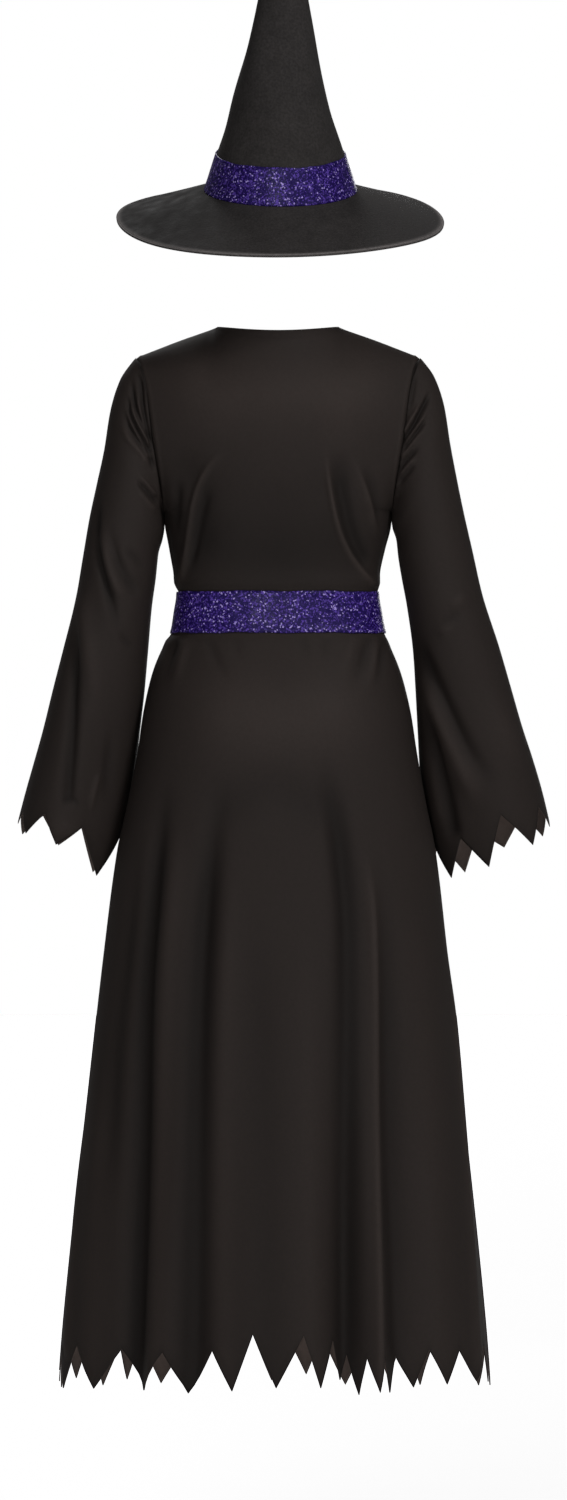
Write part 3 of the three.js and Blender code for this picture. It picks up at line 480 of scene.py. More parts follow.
# %% Smaller folds of the dress
# Each has its path, the widths at its start and end, its depth and its two fades.
BACK_FOLDS = named_rows(FOLD_COLUMNS, [
    # the left flutes
    ([(136, -545), (148, -633), (159, -728), (167, -829), (172, -974), (182, -1227), (184, -1335)],
     10, 14, -13, 0.34, 0.02),
    ([(120, -590), (132, -700), (144, -850), (150, -1010), (157, -1335)], 12, 15, 4.5, 0.3, 0.02),
    ([(170, -620), (186, -750), (200, -880), (208, -1010), (214, -1120)], 8, 11, -4.5, 0.3, 0.35),
    ([(215, -900), (226, -1060), (238, -1335)], 10, 13, 3, 0.4, 0.02),
    ([(66, -540), (82, -640), (92, -740), (98, -850), (102, -1000), (108, -1335)], 13, 19, -12, 0.4, 0.02),
    ([(56, -640), (66, -800), (72, -1000), (74, -1335)], 14, 18, 3.5, 0.35, 0.02),
    # the shallow middle
    ([(26, -700), (22, -850), (16, -1080), (12, -1335)], 20, 24, -3.4, 0.4, 0.02),
    ([(-30, -700), (-38, -950), (-42, -1335)], 18, 22, 2.6, 0.4, 0.02),
    # the right flutes
    ([(-50, -520), (-66, -580), (-80, -660), (-87, -760), (-88, -950), (-87, -1335)],
     13, 16, -11, 0.42, 0.02),
    ([(-108, -640), (-117, -720), (-121, -850), (-122, -1050), (-124, -1335)], 6, 7, 7.5, 0.35, 0.02),
    ([(-128, -640), (-136, -780), (-142, -960), (-149, -1180), (-151, -1335)], 10, 14, -6, 0.35, 0.02),
    ([(-166, -640), (-180, -860), (-190, -1100), (-198, -1335)], 16, 20, 3, 0.4, 0.02),
    ([(-212, -720), (-220, -860), (-232, -1060), (-243, -1335)], 4, 6, 4, 0.35, 0.02),
    ([(240, -980), (249, -1141), (258, -1275)], 4, 5, 3, 0.4, 0.02),
    # the seat
    ([(-56, -478), (0, -486), (56, -478)], 58, 58, 9, 0, 0),
    # below the seat
    ([(-40, -590), (10, -566), (62, -586)], 30, 30, -3, 0, 0),
    # short creases under the belt
    ([(-114, -381), (-106, -410), (-84, -458)], 6, 6, -3.4, 0.1, 0.6),
    ([(-124, -381), (-118, -416), (-106, -462)], 5, 5, 2.8, 0.1, 0.6),
    ([(-130, -381), (-128, -414), (-120, -452)], 5, 5, -2.6, 0.1, 0.6),
    ([(-96, -381), (-88, -404), (-72, -432)], 5, 5, 2.2, 0.1, 0.6),
    ([(-60, -381), (-56, -416)], 6, 6, -1.8, 0.1, 0.7),
    ([(-30, -381), (-38, -412)], 6, 6, -1.6, 0.1, 0.7),
    ([(124, -381), (133, -404), (144, -450)], 5, 5, -3, 0.1, 0.6),
    ([(112, -381), (122, -416), (132, -456)], 6, 6, 2.4, 0.1, 0.6),
    ([(88, -381), (76, -410), (56, -446)], 6, 6, -2, 0.1, 0.6),
    ([(54, -381), (46, -412)], 6, 6, -1.5, 0.1, 0.7),
    # the bodice's right side
    ([(-58, -138), (-64, -190), (-74, -240), (-90, -278), (-120, -318)], 4.6, 3.6, 6, 0.35, 0.02),
    ([(-74, -146), (-82, -206), (-96, -256), (-118, -296)], 11, 6, -7, 0.3, 0.12),
    ([(-92, -156), (-108, -196), (-119, -230), (-126, -266)], 5, 4, 3.6, 0.35, 0.4),
    ([(-106, -166), (-122, -208), (-130, -252)], 7, 5, -3.4, 0.35, 0.4),
    # the bodice's left side
    ([(60, -146), (86, -170), (103, -200), (114, -250), (121, -300), (123, -316)],
     4.6, 3.6, 4.4, 0.35, 0.06),
    ([(84, -190), (96, -220), (106, -256), (113, -300)], 8, 5, -3.4, 0.35, 0.15),
    ([(124, -180), (128, -220), (131, -262)], 6, 5, -3.4, 0.35, 0.4),
    # the hollow of the back
    ([(-78, -272), (0, -282), (90, -268)], 52, 52, -6.6, 0, 0),
    ([(0, -180), (2, -240), (2, -316)], 28, 28, -1.2, 0.4, 0.2),
    ([(116, -170), (100, -214), (100, -262)], 20, 20, -2.6, 0, 0),
    # the shoulder blades
    ([(-96, -70), (0, -78), (96, -70)], 44, 44, 8, 0, 0),
    ([(-70, -196), (0, -204), (80, -196)], 40, 40, -2.6, 0, 0),
    ([(-74, -96), (-80, -130)], 26, 26, 2.2, 0, 0),
    ([(74, -96), (80, -120)], 24, 24, 1.2, 0, 0),
])
FRONT_FOLDS = named_rows(FOLD_COLUMNS, [
    # flutes
    ([(-160, -560), (-168, -760), (-178, -960), (-182, -1335)], 8, 13, -4.6, 0.45, 0.05),
    ([(-118, -600), (-126, -820), (-130, -1040), (-132, -1335)], 7, 9, 3.6, 0.4, 0.05),
    ([(-74, -560), (-80, -720), (-86, -980), (-90, -1335)], 7, 12, -5, 0.4, 0.05),
    ([(-34, -640), (-36, -900), (-38, -1335)], 14, 17, 2.4, 0.4, 0.05),
    ([(12, -590), (14, -760), (12, -1000), (10, -1335)], 8, 13, -4.4, 0.45, 0.05),
    ([(52, -620), (56, -820), (60, -1335)], 8, 10, 3.2, 0.4, 0.05),
    ([(92, -550), (98, -720), (104, -950), (108, -1335)], 7, 13, -5.4, 0.4, 0.05),
    ([(140, -640), (148, -860), (154, -1335)], 12, 15, 2.6, 0.4, 0.05),
    ([(180, -600), (192, -800), (204, -1040), (210, -1335)], 7, 11, -3.8, 0.4, 0.05),
    # short creases under the belt
    ([(-112, -381), (-102, -410), (-92, -444)], 5, 5, -1.7, 0.1, 0.6),
    ([(-44, -381), (-40, -412)], 6, 6, -1, 0.1, 0.7),
    ([(38, -381), (34, -420)], 6, 6, -1.1, 0.1, 0.7),
    ([(100, -381), (94, -408), (84, -440)], 5, 5, 1.6, 0.1, 0.6),
    ([(114, -381), (108, -412)], 5, 5, -1.5, 0.1, 0.6),
    # the bodice, drawn from the chest to the waist
    ([(118, -196), (98, -232), (88, -276), (86, -316)], 7, 5, 2.8, 0.3, 0.15),
    ([(128, -216), (112, -262), (104, -312)], 8, 6, -2.8, 0.3, 0.2),
    ([(-120, -190), (-104, -226), (-94, -270), (-92, -316)], 6, 5, 2.6, 0.3, 0.15),
    ([(-129, -212), (-116, -262), (-110, -312)], 8, 6, -2.6, 0.3, 0.2),
    ([(52, -236), (46, -280), (44, -318)], 10, 10, -1.9, 0.4, 0.2),
    ([(-50, -232), (-42, -276), (-40, -318)], 9, 9, -1.8, 0.4, 0.2),
    ([(0, -220), (2, -316)], 16, 16, -1.6, 0.4, 0.2),
    # the chest
    ([(-62, -190), (-66, -214)], 34, 34, 4.6, 0, 0),
    ([(62, -190), (66, -214)], 34, 34, 4.6, 0, 0),
    # soft drape under the neckline
    ([(-58, -60), (0, -104), (58, -60)], 9, 9, 1.2, 0.3, 0.3),
    ([(-78, -70), (0, -128), (78, -70)], 10, 10, -1.2, 0.3, 0.3),
])
print(len(BACK_FOLDS), "folds on the back,", len(FRONT_FOLDS), "on the front")

# %% [markdown]
# ## The jagged hem
#
# The hem is cut in uneven points and left raw, because this knit doesn't fray. Each row
# of the table is one point: where its tip and the notch after it lie, as shares of the
# panel's width, and the heights where they end. The columns of the mesh are drawn over to
# the tips and notches on their way down, so that every cut edge is a line of the mesh and
# stays sharp.

# %% Points of the hem
TOOTH_COLUMNS = "tip tip_end notch notch_end"
HEM_DRAW_START, HEM_STRAIGHT = -600, -1228
HEM_FIRST_NOTCH = {"back": -1272, "front": -1268}
HEM_TEETH = {
    "back": named_rows(TOOTH_COLUMNS, [
        (0.03, -1296, 0.062, -1276),
        (0.085, -1316, 0.125, -1261),
        (0.17, -1313, 0.215, -1262),
        (0.263, -1312, 0.31, -1265),
        (0.353, -1314, 0.393, -1261),
        (0.43, -1311, 0.464, -1241),
        (0.503, -1307, 0.549, -1243),
        (0.577, -1307, 0.603, -1247),
        (0.617, -1297, 0.63, -1266),
        (0.644, -1316, 0.657, -1271),
        (0.672, -1314, 0.685, -1272),
        (0.7, -1314, 0.722, -1269),
        (0.75, -1309, 0.777, -1263),
        (0.804, -1307, 0.835, -1266),
        (0.872, -1306, 0.92, -1260),
        (0.962, -1310, 1, -1268),
    ]),
    "front": named_rows(TOOTH_COLUMNS, [
        (0.035, -1318, 0.07, -1273),
        (0.105, -1322, 0.145, -1266),
        (0.175, -1312, 0.2, -1279),
        (0.235, -1325, 0.27, -1262),
        (0.305, -1319, 0.335, -1270),
        (0.375, -1327, 0.415, -1264),
        (0.445, -1315, 0.472, -1276),
        (0.505, -1324, 0.54, -1261),
        (0.575, -1321, 0.61, -1268),
        (0.635, -1311, 0.66, -1280),
        (0.695, -1326, 0.735, -1265),
        (0.768, -1318, 0.8, -1271),
        (0.83, -1323, 0.862, -1263),
        (0.885, -1313, 0.91, -1278),
        (0.938, -1322, 0.965, -1269),
        (0.983, -1312, 1, -1272),
    ]),
}


def columns_to_teeth(teeth, first_notch, first_end, count, is_tube):
    """Places of the columns that run to tips and notches, and where they end."""
    places, ends = [first_notch], [first_end]
    for tooth in teeth:
        places += [tooth["tip"], tooth["notch"]]
        ends += [tooth["tip_end"], tooth["notch_end"]]
    corners = np.arange(len(places))
    steps = np.linspace(0, len(places) - 1, count, endpoint=not is_tube)
    return np.interp(steps, corners, places), np.interp(steps, corners, ends)


print({panel: len(rows) for panel, rows in HEM_TEETH.items()}, "points")

# %% [markdown]
# ## Cloth from a grid
#
# A cloth piece is a grid of points and the same grid again, set inwards by the thickness
# of the cloth, with a narrow face all round that joins them. It could be one sheet with a
# Solidify modifier, but then the wall would cross itself at the hem's notches. The inner
# grid is set back along smoothed directions, which keeps it clean. A mesh also carries
# marks for its finish: the way along the cloth for the knit, how near a cut edge is, its
# painted shading (painted shade in the troughs and along seams, painted light on the
# ridges), and how much paler its inner skin is, which near the hem is painted light.

# %% Making the mesh of a cloth piece
def grid_directions(grid, is_tube):
    """The outward direction at each point of a grid whose rows run down."""
    if is_tube:
        around = np.concatenate([grid[:, -1:], grid, grid[:, :1]], axis=1)
        across = np.gradient(around, axis=1)[:, 1:-1]
    else:
        across = np.gradient(grid, axis=1)
    return unit(np.cross(np.gradient(grid, axis=0), across))


def cloth_mesh(name, grid, wall, is_tube=False, directions=None, marks=None, inside=1.0):
    """A closed shell from a grid in millimetres. Marks are named values for the finish,
    one for each point of the grid. Inside says how pale the inner skin is: paler as a
    knit's wrong side is, and near the hem much paler, as painted light."""
    rows, columns = grid.shape[:2]
    far = rows * columns
    out = grid_directions(grid, is_tube) if directions is None else directions
    points = np.concatenate([grid.reshape(-1, 3), (grid - out * wall).reshape(-1, 3)]) * MM
    index = np.arange(far).reshape(rows, columns)
    right = np.roll(index, -1, axis=1) if is_tube else index[:, 1:]
    left = index if is_tube else index[:, :-1]

    def narrow_face(first, second):
        return np.stack([first, second, second + far, first + far], axis=-1)

    a, b, c, d = left[:-1], right[:-1], right[1:], left[1:]
    faces = [np.stack([a, d, c, b], axis=-1).reshape(-1, 4),
             np.stack([a, b, c, d], axis=-1).reshape(-1, 4) + far,
             narrow_face(left[0], right[0]), narrow_face(right[-1], left[-1])]
    if not is_tube:
        faces.append(narrow_face(index[1:, 0], index[:-1, 0]))
        faces.append(narrow_face(index[:-1, -1], index[1:, -1]))
    mesh = bpy.data.meshes.new(name)
    mesh.from_pydata(points.tolist(), [], np.concatenate(faces).tolist())
    mesh.update()
    mesh.shade_smooth()
    values = {mark: np.tile(given.ravel(), 2) for mark, given in (marks or {}).items()}
    inner_skin = np.broadcast_to(inside, (rows, columns)).ravel()
    values["inside"] = np.concatenate([0 * inner_skin, inner_skin])
    for mark, given in values.items():
        layer = mesh.attributes.new(mark, "FLOAT", "POINT")
        layer.data.foreach_set("value", given.astype(np.float32))
    piece = bpy.data.objects.new(name, mesh)
    bpy.context.scene.collection.objects.link(piece)
    print(name, len(mesh.vertices), "points,", len(mesh.polygons), "faces")
    return piece


CUT_SHARPNESS = 6


def knit_marks(grid, cut_rows, painted_shading):
    """Marks for the knit: the ways across and down the cloth in metres, and how near the
    cut edge is over the last rows."""
    across = way_along(grid, 1)
    across -= across.mean(axis=1, keepdims=True)
    cut = np.clip((np.arange(len(grid)) - len(grid) + 1 + cut_rows) / cut_rows, 0, 1)
    cut = np.repeat(cut[:, None] ** CUT_SHARPNESS, grid.shape[1], axis=1)
    return dict(across=across * MM, down=way_along(grid, 0) * MM, edge=cut, painted_shading=painted_shading)

# %% [markdown]
# ## The two panels of the dress
#
# Each panel runs from the shoulder seams and the neckline to the hem. A seam pulls its
# cloth in by a fraction of a millimetre, and that hairline is what one sees of it. The
# belt draws the waist in, and the cloth swells a little right above and below it. The two
# panels meet without a gap at the sides and shoulders, so no light comes through a seam.

# %% Dress panels
DRESS_WALL = 0.9
PANEL_COLUMNS, YOKE_GRID_ROWS, BODY_ROW_STEP, HEM_ROWS = 160, 56, 5.2, 14
# The depth of a fold in millimetres that gets the full painted shade or painted light
FULL_SHADING_DEPTH = 9.0
EDGE_FADE = 0.03  # the folds end at the side seams
SEAM_PULL, SEAM_PULL_REACH = 1.1, 3.2
SIDE_SEAM_START, SIDE_SEAM_FADE = -ARMPIT - 30, 40
BELT_FADE = 22  # how far from the belt the cloth is free again
SWELL, SWELL_WIDTH, SWELL_ABOVE, SWELL_BELOW = 1.6, 8, BELT_TOP + 11, BELT_FOOT - 9
SWELL_SHARE_BELOW = 0.7
ARMPIT_FILL, ARMPIT_FILL_HEIGHT, ARMPIT_FILL_WIDTH, ARMPIT_FILL_REACH = 1.75, -236, 22, 0.05
# Beside the armhole seam the cloth rolls up a little: how high, how far from the seam, how wide, and how
# much painted light the roll gets
SEAM_ROLL, SEAM_ROLL_PLACE, SEAM_ROLL_WIDTH, SEAM_ROLL_SHADE = 0.8, 5.0, 2.2, 4.0
# Along the armhole seam a line of painted shade: how dark, and how wide
SEAM_SHADE, SEAM_SHADE_WIDTH = 5.0, 2.4
NECK_HEM, NECK_HEM_DEPTH, NECK_HEM_WIDTH = 9.0, 0.55, 1.3
NECK_FADE_START, NECK_FADE = SHOULDER_SHARE - 0.03, 0.05
# How much paler the inner skin is painted at the hem: painted light, where light gets in under the hem
INSIDE_AT_HEM, INSIDE_START, INSIDE_FADE = 4.0, HEM_STRAIGHT + 40, 60


def seam_pull(away):
    """The groove that a seam makes, by how far away it is in millimetres."""
    return -SEAM_PULL * hill(away, 0, SEAM_PULL_REACH)


def painted_shading_of(creases):
    """Painted shading for the finish: from -1, full painted shade, in the deep troughs to 1, full painted
    light, on the high ridges.
    """
    return np.clip(creases / FULL_SHADING_DEPTH, -1, 1)


def belt_hold(z):
    """0 under the belt, where the cloth lies flat, and 1 away from it."""
    return ease((z - (BELT_TOP + 1)) / BELT_FADE) + ease((BELT_FOOT - 1 - z) / BELT_FADE)


def panel_grid(panel):
    """Rows of points on the smooth form, the share of each across and its row there."""
    drawn_shares, hem_heights = columns_to_teeth(
        HEM_TEETH[panel], 0, HEM_FIRST_NOTCH[panel], PANEL_COLUMNS + 1, False)
    even = np.linspace(0, 1, PANEL_COLUMNS + 1)
    shares, rows = [], []
    for down in np.linspace(0, 1, YOKE_GRID_ROWS, endpoint=False):
        shares.append(even)
        rows.append(np.full_like(even, down / YOKE_STEP))
    count = round((-ARMPIT - HEM_STRAIGHT) / BODY_ROW_STEP)
    for z in np.linspace(-ARMPIT, HEM_STRAIGHT, count + 1):
        drawn = float(ease((HEM_DRAW_START - z) / (HEM_DRAW_START - HEM_STRAIGHT)))
        shares.append(even + (drawn_shares - even) * drawn)
        rows.append(np.full_like(even, form_row(z)))
    for t in np.arange(1, HEM_ROWS + 1) / HEM_ROWS:
        shares.append(drawn_shares)
        rows.append(form_row(HEM_STRAIGHT + (hem_heights - HEM_STRAIGHT) * t))
    shares, rows = np.array(shares), np.array(rows)
    return on_form(panel, shares, rows), shares, rows


def dress_panel(panel, folds, first_place):
    """A panel, its folds, and the place of its first side seam on the way round."""
    grid, shares, rows = panel_grid(panel)
    x, z = grid[..., 0], grid[..., 2]
    below = rows >= len(yoke_downs)
    on_body, on_yoke = np.where(below, 1, 0), np.where(below, 0, 1)
    out = grid_directions(grid, False)
    for edge in (0, -1):
        out[:, edge, 1] = np.where(below[:, edge], 0, out[:, edge, 1])
    out = unit(out)
    from_edge = np.minimum(shares, 1 - shares)
    from_side = from_edge * way_along(grid, 1)[:, -1:]
    from_top = way_along(grid)
    on_neck = ease((from_edge - NECK_FADE_START) / NECK_FADE)

    creases, shade = lay_folds(x, z, folds)
    height = on_body * flute_height(FLUTES, first_place + shares, 2, z, FLUTE_FULL)
    height += creases * ease(from_edge / EDGE_FADE)
    shade *= ease(from_edge / EDGE_FADE)
    height *= np.where(below, belt_hold(z), 1)
    swell = hill(z, SWELL_ABOVE, SWELL_WIDTH) + SWELL_SHARE_BELOW * hill(z, SWELL_BELOW, SWELL_WIDTH)
    height += SWELL * swell * on_body
    height += on_body * seam_pull(from_side) * ease((SIDE_SEAM_START - z) / SIDE_SEAM_FADE)
    at_armpit = hill(z, ARMPIT_FILL_HEIGHT, ARMPIT_FILL_WIDTH)
    height += ARMPIT_FILL * at_armpit * (1 - ease(from_edge / ARMPIT_FILL_REACH))
    roll = on_yoke * hill(from_side, SEAM_ROLL_PLACE, SEAM_ROLL_WIDTH)
    height += SEAM_ROLL * roll
    # Painted light on the roll, and a line of painted shade along the armhole seam
    shade += SEAM_ROLL_SHADE * roll - SEAM_SHADE * on_yoke * hill(from_side, 0, SEAM_SHADE_WIDTH)
    height += seam_pull(from_top) * (1 - on_neck)
    height -= NECK_HEM_DEPTH * hill(from_top, NECK_HEM, NECK_HEM_WIDTH) * on_neck
    armhole_pull = unit(out * np.array([0, 1, 1])) * (on_yoke * seam_pull(from_side))[..., None]
    grid = grid + out * height[..., None] + armhole_pull
    # The inner skin is painted much paler near the hem: painted light
    inside = 1 + INSIDE_AT_HEM * ease((INSIDE_START - grid[..., 2]) / INSIDE_FADE)
    return cloth_mesh("dress_" + panel + "_cloth", grid, DRESS_WALL, inside=inside,
                      marks=knit_marks(grid, HEM_ROWS, painted_shading_of(shade)))


dress_back = dress_panel("back", BACK_FOLDS, 0)
dress_front = dress_panel("front", FRONT_FOLDS, 1)

# %% [markdown]
# ## The bell sleeves
#
# A sleeve is a tube of leaning ovals that starts at the armhole and widens below the
# elbow. It could be a cone, but a worn sleeve is slightly bent: its inner line runs down
# beside the dress while its outer line swings out. Its folds fan from the armpit, gather in
# the crook of the elbow and end as a few soft flutes over the cuff.

# %% Sizes of the sleeves
# A ring's way down, its outer and inner points, half of its depth and the middle of it
RING_COLUMNS = "down outerX outerZ innerX innerZ reach y"
SLEEVE_RINGS = {
    "left": named_rows(RING_COLUMNS, [
        (0, 177, -31, 141, -225, 48, 0),
        (30, 197, -60, 142.6, -231, 50, 0),
        (65, 209, -98, 142.4, -238, 52, 1),
        (110, 217, -148, 142.2, -248, 54, 2),
        (150, 226, -190, 144, -260, 55, 3),
        (190, 235, -232, 148.5, -276, 56, 4),
        (240, 243.5, -282, 152, -308, 57, 5),
        (290, 252, -332, 157, -345, 59, 5),
        (350, 268, -396, 162, -402, 64, -2),
        (400, 281, -446, 167, -450, 70, -11),
        (450, 294, -498, 173.5, -495, 77, -21),
        (500, 306, -540, 180.5, -545, 84, -32),
        (550, 317, -578, 189, -594, 91, -43),
        (640, 339, -663, 206, -684, 101, -62),
    ]),
    "right": named_rows(RING_COLUMNS, [
        (0, 177, -31, 141, -225, 48, 0),
        (30, 195.5, -57, 142.6, -231, 50, 0),
        (65, 207.5, -93, 142.8, -237, 52, 1),
        (110, 215, -140, 143.4, -246, 54, 2),
        (150, 222.5, -180, 147.5, -260, 55, 3),
        (190, 231, -222, 149.5, -280, 56, 4),
        (240, 243, -275, 154, -308, 57, 5),
        (290, 255, -328, 160, -340, 59, 5),
        (350, 276, -393, 168, -397, 62, -2),
        (400, 291, -444, 172, -447, 67, -11),
        (450, 305, -492, 176, -500, 73, -21),
        (500, 319, -534, 180, -550, 79, -32),
        (550, 331.5, -576, 187, -600, 84, -43),
        (640, 352, -664, 202, -688, 92, -62),
    ]),
}
# Degrees from the outer side over the back, and ways down the sleeve
CUFF_POINTS = {
    "left": named_rows(TOOTH_COLUMNS, [
        (10, 590, 25, 573),
        (43, 600, 63, 571),
        (81, 608, 106, 582),
        (137, 639, 163, 588),
        (184, 622, 205, 587),
        (233, 637, 258, 584),
        (280, 611, 303, 578),
        (327, 604, 350, 574),
    ]),
    "right": named_rows(TOOTH_COLUMNS, [
        (12, 594, 34, 566),
        (54, 612, 79, 568),
        (100, 631, 125, 590),
        (145, 637, 166, 590),
        (190, 622, 212, 589),
        (236, 634, 258, 584),
        (281, 612, 303, 577),
        (325, 606, 348, 572),
    ]),
}
SLEEVE_FLUTES = named_rows("place width depth top", [
    (62, 60, 5, 300),
    (112, 50, -6, 260),
    (200, 60, 4, 340),
    (250, 60, -5, 280),
    (305, 60, 5, 320),
])
SLEEVE_FLUTE_FULL = 560
SEAM_FADE = 90  # how far down the sleeve still turns from the armhole's form to its own
CUFF_DRAW_START, CUFF_DRAW_FULL, CUFF_STRAIGHT = 280, 560, 545
print({side: len(rows) for side, rows in CUFF_POINTS.items()}, "points on the cuffs")

# %% Folds of the sleeves
# Places are out from the middle plane and up, for both sides alike.
SLEEVE_FOLDS = {
    ("left", "back"): named_rows(FOLD_COLUMNS, [
        # the cap
        ([(178, -46), (171, -68), (169, -90), (166, -108), (160, -134), (155, -160)],
         2.8, 2.8, -4.4, 0.2, 0.2),
        ([(176, -78), (172.5, -100), (166, -120), (160, -136)], 2.8, 2.8, 3.2, 0.3, 0.3),
        ([(183, -56), (181, -79), (175, -101), (167, -121), (158, -140)], 3, 3, -4.2, 0.3, 0.15),
        ([(186, -84), (178, -108), (169, -126), (158, -146)], 2.8, 2.8, 4.2, 0.3, 0.15),
        ([(188, -76), (185, -97), (177.5, -118), (166, -139), (157, -156)], 2.8, 2.8, -4.2, 0.3, 0.15),
        ([(190, -98), (180, -122), (168, -143), (157, -162)], 2.8, 2.8, 3.8, 0.3, 0.15),
        ([(194, -96), (184, -120), (173, -138), (160, -156), (152, -178)], 3.2, 3.2, -4.4, 0.3, 0.2),
        ([(199, -104), (187, -134), (172, -152), (159, -170)], 4, 4, 2.8, 0.4, 0.2),
        ([(176, -178), (164, -191), (150, -209)], 2.8, 2.8, 2.6, 0.4, 0.2),
        ([(178, -186), (164, -199), (148, -216)], 3.2, 3.2, -3, 0.4, 0.2),
        ([(176, -200), (164, -212), (150, -226)], 3.4, 3.4, 2, 0.4, 0.2),
        # the elbow
        ([(222, -205), (225, -236), (224, -262)], 4, 4, -3.6, 0.4, 0.4),
        ([(228, -228), (225, -268), (217, -306), (205, -346), (196, -384)], 5, 6, -6, 0.35, 0.4),
        ([(221, -226), (214, -284), (202, -318), (184, -338)], 7, 6, 4.5, 0.35, 0.35),
        ([(212, -240), (199, -288), (181, -318), (168, -330)], 6, 6, -3.9, 0.35, 0.4),
        ([(194, -270), (178, -283), (164, -300)], 5, 5, -2.4, 0.4, 0.4),
        ([(198, -372), (188, -388), (176, -398)], 5, 5, -2.1, 0.4, 0.4),
        # the lower sleeve
        ([(238, -300), (242, -350), (236, -400), (228, -452), (230, -500)], 10, 14, 5.1, 0.3, 0.5),
        ([(249, -340), (252, -400), (254, -450), (256, -505), (260, -560), (262, -600)],
         6, 8, -7, 0.3, 0.15),
        ([(204, -480), (208, -540), (212, -600)], 7, 7, -2.7, 0.5, 0.3),
        ([(270, -594), (262, -584), (253, -586), (246, -602)], 3.4, 3.4, -2.6, 0.3, 0.3),
        ([(218, -548), (226, -572), (232, -604)], 3.6, 3.6, 2.6, 0.4, 0.3),
        ([(276, -622), (252, -630)], 15, 15, 3.4, 0, 0),
    ]),
    ("right", "back"): named_rows(FOLD_COLUMNS, [
        # the cap
        ([(173, -46), (170, -66), (166, -88), (160, -112)], 3, 3, -2.6, 0.3, 0.4),
        ([(190, -72), (185, -88), (176, -104), (169, -118), (161, -130), (153, -144)],
         3.2, 3.2, -5.2, 0.25, 0.12),
        ([(178, -88), (171, -102), (162, -117), (154, -133)], 2.8, 2.8, 4, 0.35, 0.2),
        ([(186, -100), (177, -114), (167, -128), (155, -143)], 2.8, 2.8, 4, 0.35, 0.15),
        ([(186, -108), (176, -122), (165, -137), (154, -152)], 2.8, 2.8, -4.2, 0.3, 0.15),
        ([(182, -122), (170, -136), (160, -149), (152, -161)], 3, 3, 3, 0.35, 0.2),
        ([(178, -143), (166, -155), (156, -167), (149, -179)], 3, 3, -3.4, 0.35, 0.2),
        ([(174, -156), (162, -167), (150, -182)], 3.2, 3.2, 2.4, 0.4, 0.2),
        ([(172, -166), (160, -178), (148, -194)], 3.2, 3.2, -2.4, 0.4, 0.2),
        # the elbow
        ([(236, -326), (222, -340), (210, -346)], 6, 6, 3, 0.4, 0.5),
        ([(228, -346), (214, -362), (200, -370)], 6, 6, -2.2, 0.4, 0.5),
        ([(222, -360), (208, -374), (196, -380)], 5, 5, 2.4, 0.4, 0.5),
        # the lower sleeve
        ([(170, -372), (180, -405), (196, -444), (214, -484), (236, -524), (262, -556), (286, -576)],
         7, 13, -6.9, 0.25, 0.5),
        ([(178, -420), (194, -468), (212, -512), (232, -560), (250, -602)], 10, 15, 6.6, 0.3, 0.3),
        ([(182, -462), (193, -520), (206, -576), (217, -640)], 7, 9, -6.4, 0.35, 0.1),
        ([(182, -490), (192, -556), (203, -626)], 6, 6, 2.4, 0.4, 0.2),
        ([(264, -440), (284, -500), (304, -560)], 16, 16, 3.6, 0.5, 0.5),
    ]),
    ("left", "front"): named_rows(FOLD_COLUMNS, [
        ([(186, -58), (180, -90), (166, -124), (152, -146)], 4, 4, -4.1, 0.3, 0.2),
        ([(192, -84), (182, -116), (166, -144), (151, -164)], 4, 4, 4.1, 0.35, 0.2),
        ([(184, -124), (168, -150), (150, -174)], 4, 4, -3.4, 0.4, 0.2),
        ([(176, -160), (162, -178), (148, -192)], 4, 4, 2.8, 0.4, 0.2),
        ([(228, -300), (206, -318), (184, -326)], 6, 6, -4.2, 0.4, 0.4),
        ([(234, -318), (212, -338), (186, -350)], 7, 7, 4.5, 0.4, 0.4),
        ([(232, -346), (214, -362), (192, -372)], 6, 6, -3.3, 0.4, 0.4),
        ([(200, -380), (210, -440), (226, -500), (240, -570)], 8, 12, -6, 0.4, 0.1),
        ([(236, -400), (252, -470), (268, -550)], 12, 12, 4.8, 0.4, 0.2),
    ]),
    ("right", "front"): named_rows(FOLD_COLUMNS, [
        ([(188, -62), (178, -96), (164, -128), (151, -152)], 4, 4, -4.3, 0.3, 0.2),
        ([(190, -92), (178, -126), (163, -150), (150, -170)], 4, 4, 3.8, 0.35, 0.2),
        ([(180, -136), (165, -160), (149, -182)], 4, 4, -3.2, 0.4, 0.2),
        ([(234, -292), (210, -312), (186, -322)], 6, 6, 3.9, 0.4, 0.4),
        ([(236, -314), (214, -334), (190, -344)], 6, 6, -4.2, 0.4, 0.4),
        ([(238, -340), (218, -358), (196, -368)], 7, 7, 3.6, 0.4, 0.4),
        ([(206, -390), (220, -450), (236, -510), (250, -570)], 8, 12, -6, 0.4, 0.1),
        ([(246, -400), (266, -470), (284, -560)], 12, 12, 4.5, 0.4, 0.2),
    ]),
}
print(sum(len(folds) for folds in SLEEVE_FOLDS.values()), "folds on the sleeves")

# %% Sleeves
SLEEVE_COLUMNS, SLEEVE_ROW_STEP, CUFF_ROWS = 192, 4.2, 14
CAP_END, CAP_ROW_STEP = 112, 1.5  # the cap's fine creases need closer rows
# The lower sleeve's section is squarer than an oval
FLATTENED, FLATTENED_START, FLATTENED_FADE = 0.16, 260, 200
TURNED_TO = 0.35  # the sine of the turn at which a back or front fold has its whole depth
INNER_SEAM_SHARE, INNER_SEAM_START, INNER_SEAM_FADE, INNER_SEAM_ARM = 0.7, 150, 60, 60
INNER_FILL, INNER_FILL_WAY, INNER_FILL_WIDTH, INNER_FILL_REACH = 1.25, 62, 50, 0.3
# The cuff's inner skin is painted much paler over its last rows: painted light, as at the hem
PALE_ROWS, PALE_FADE = 24, 16  # rows of the cuff's inner skin that look paler
# The seam allowance, turned in under the dress: how deep it lies and how far it reaches
SLEEVE_ALLOWANCE = [(2.4, 6), (2.3, 3), (1.9, 1), (0.9, 0.2)]


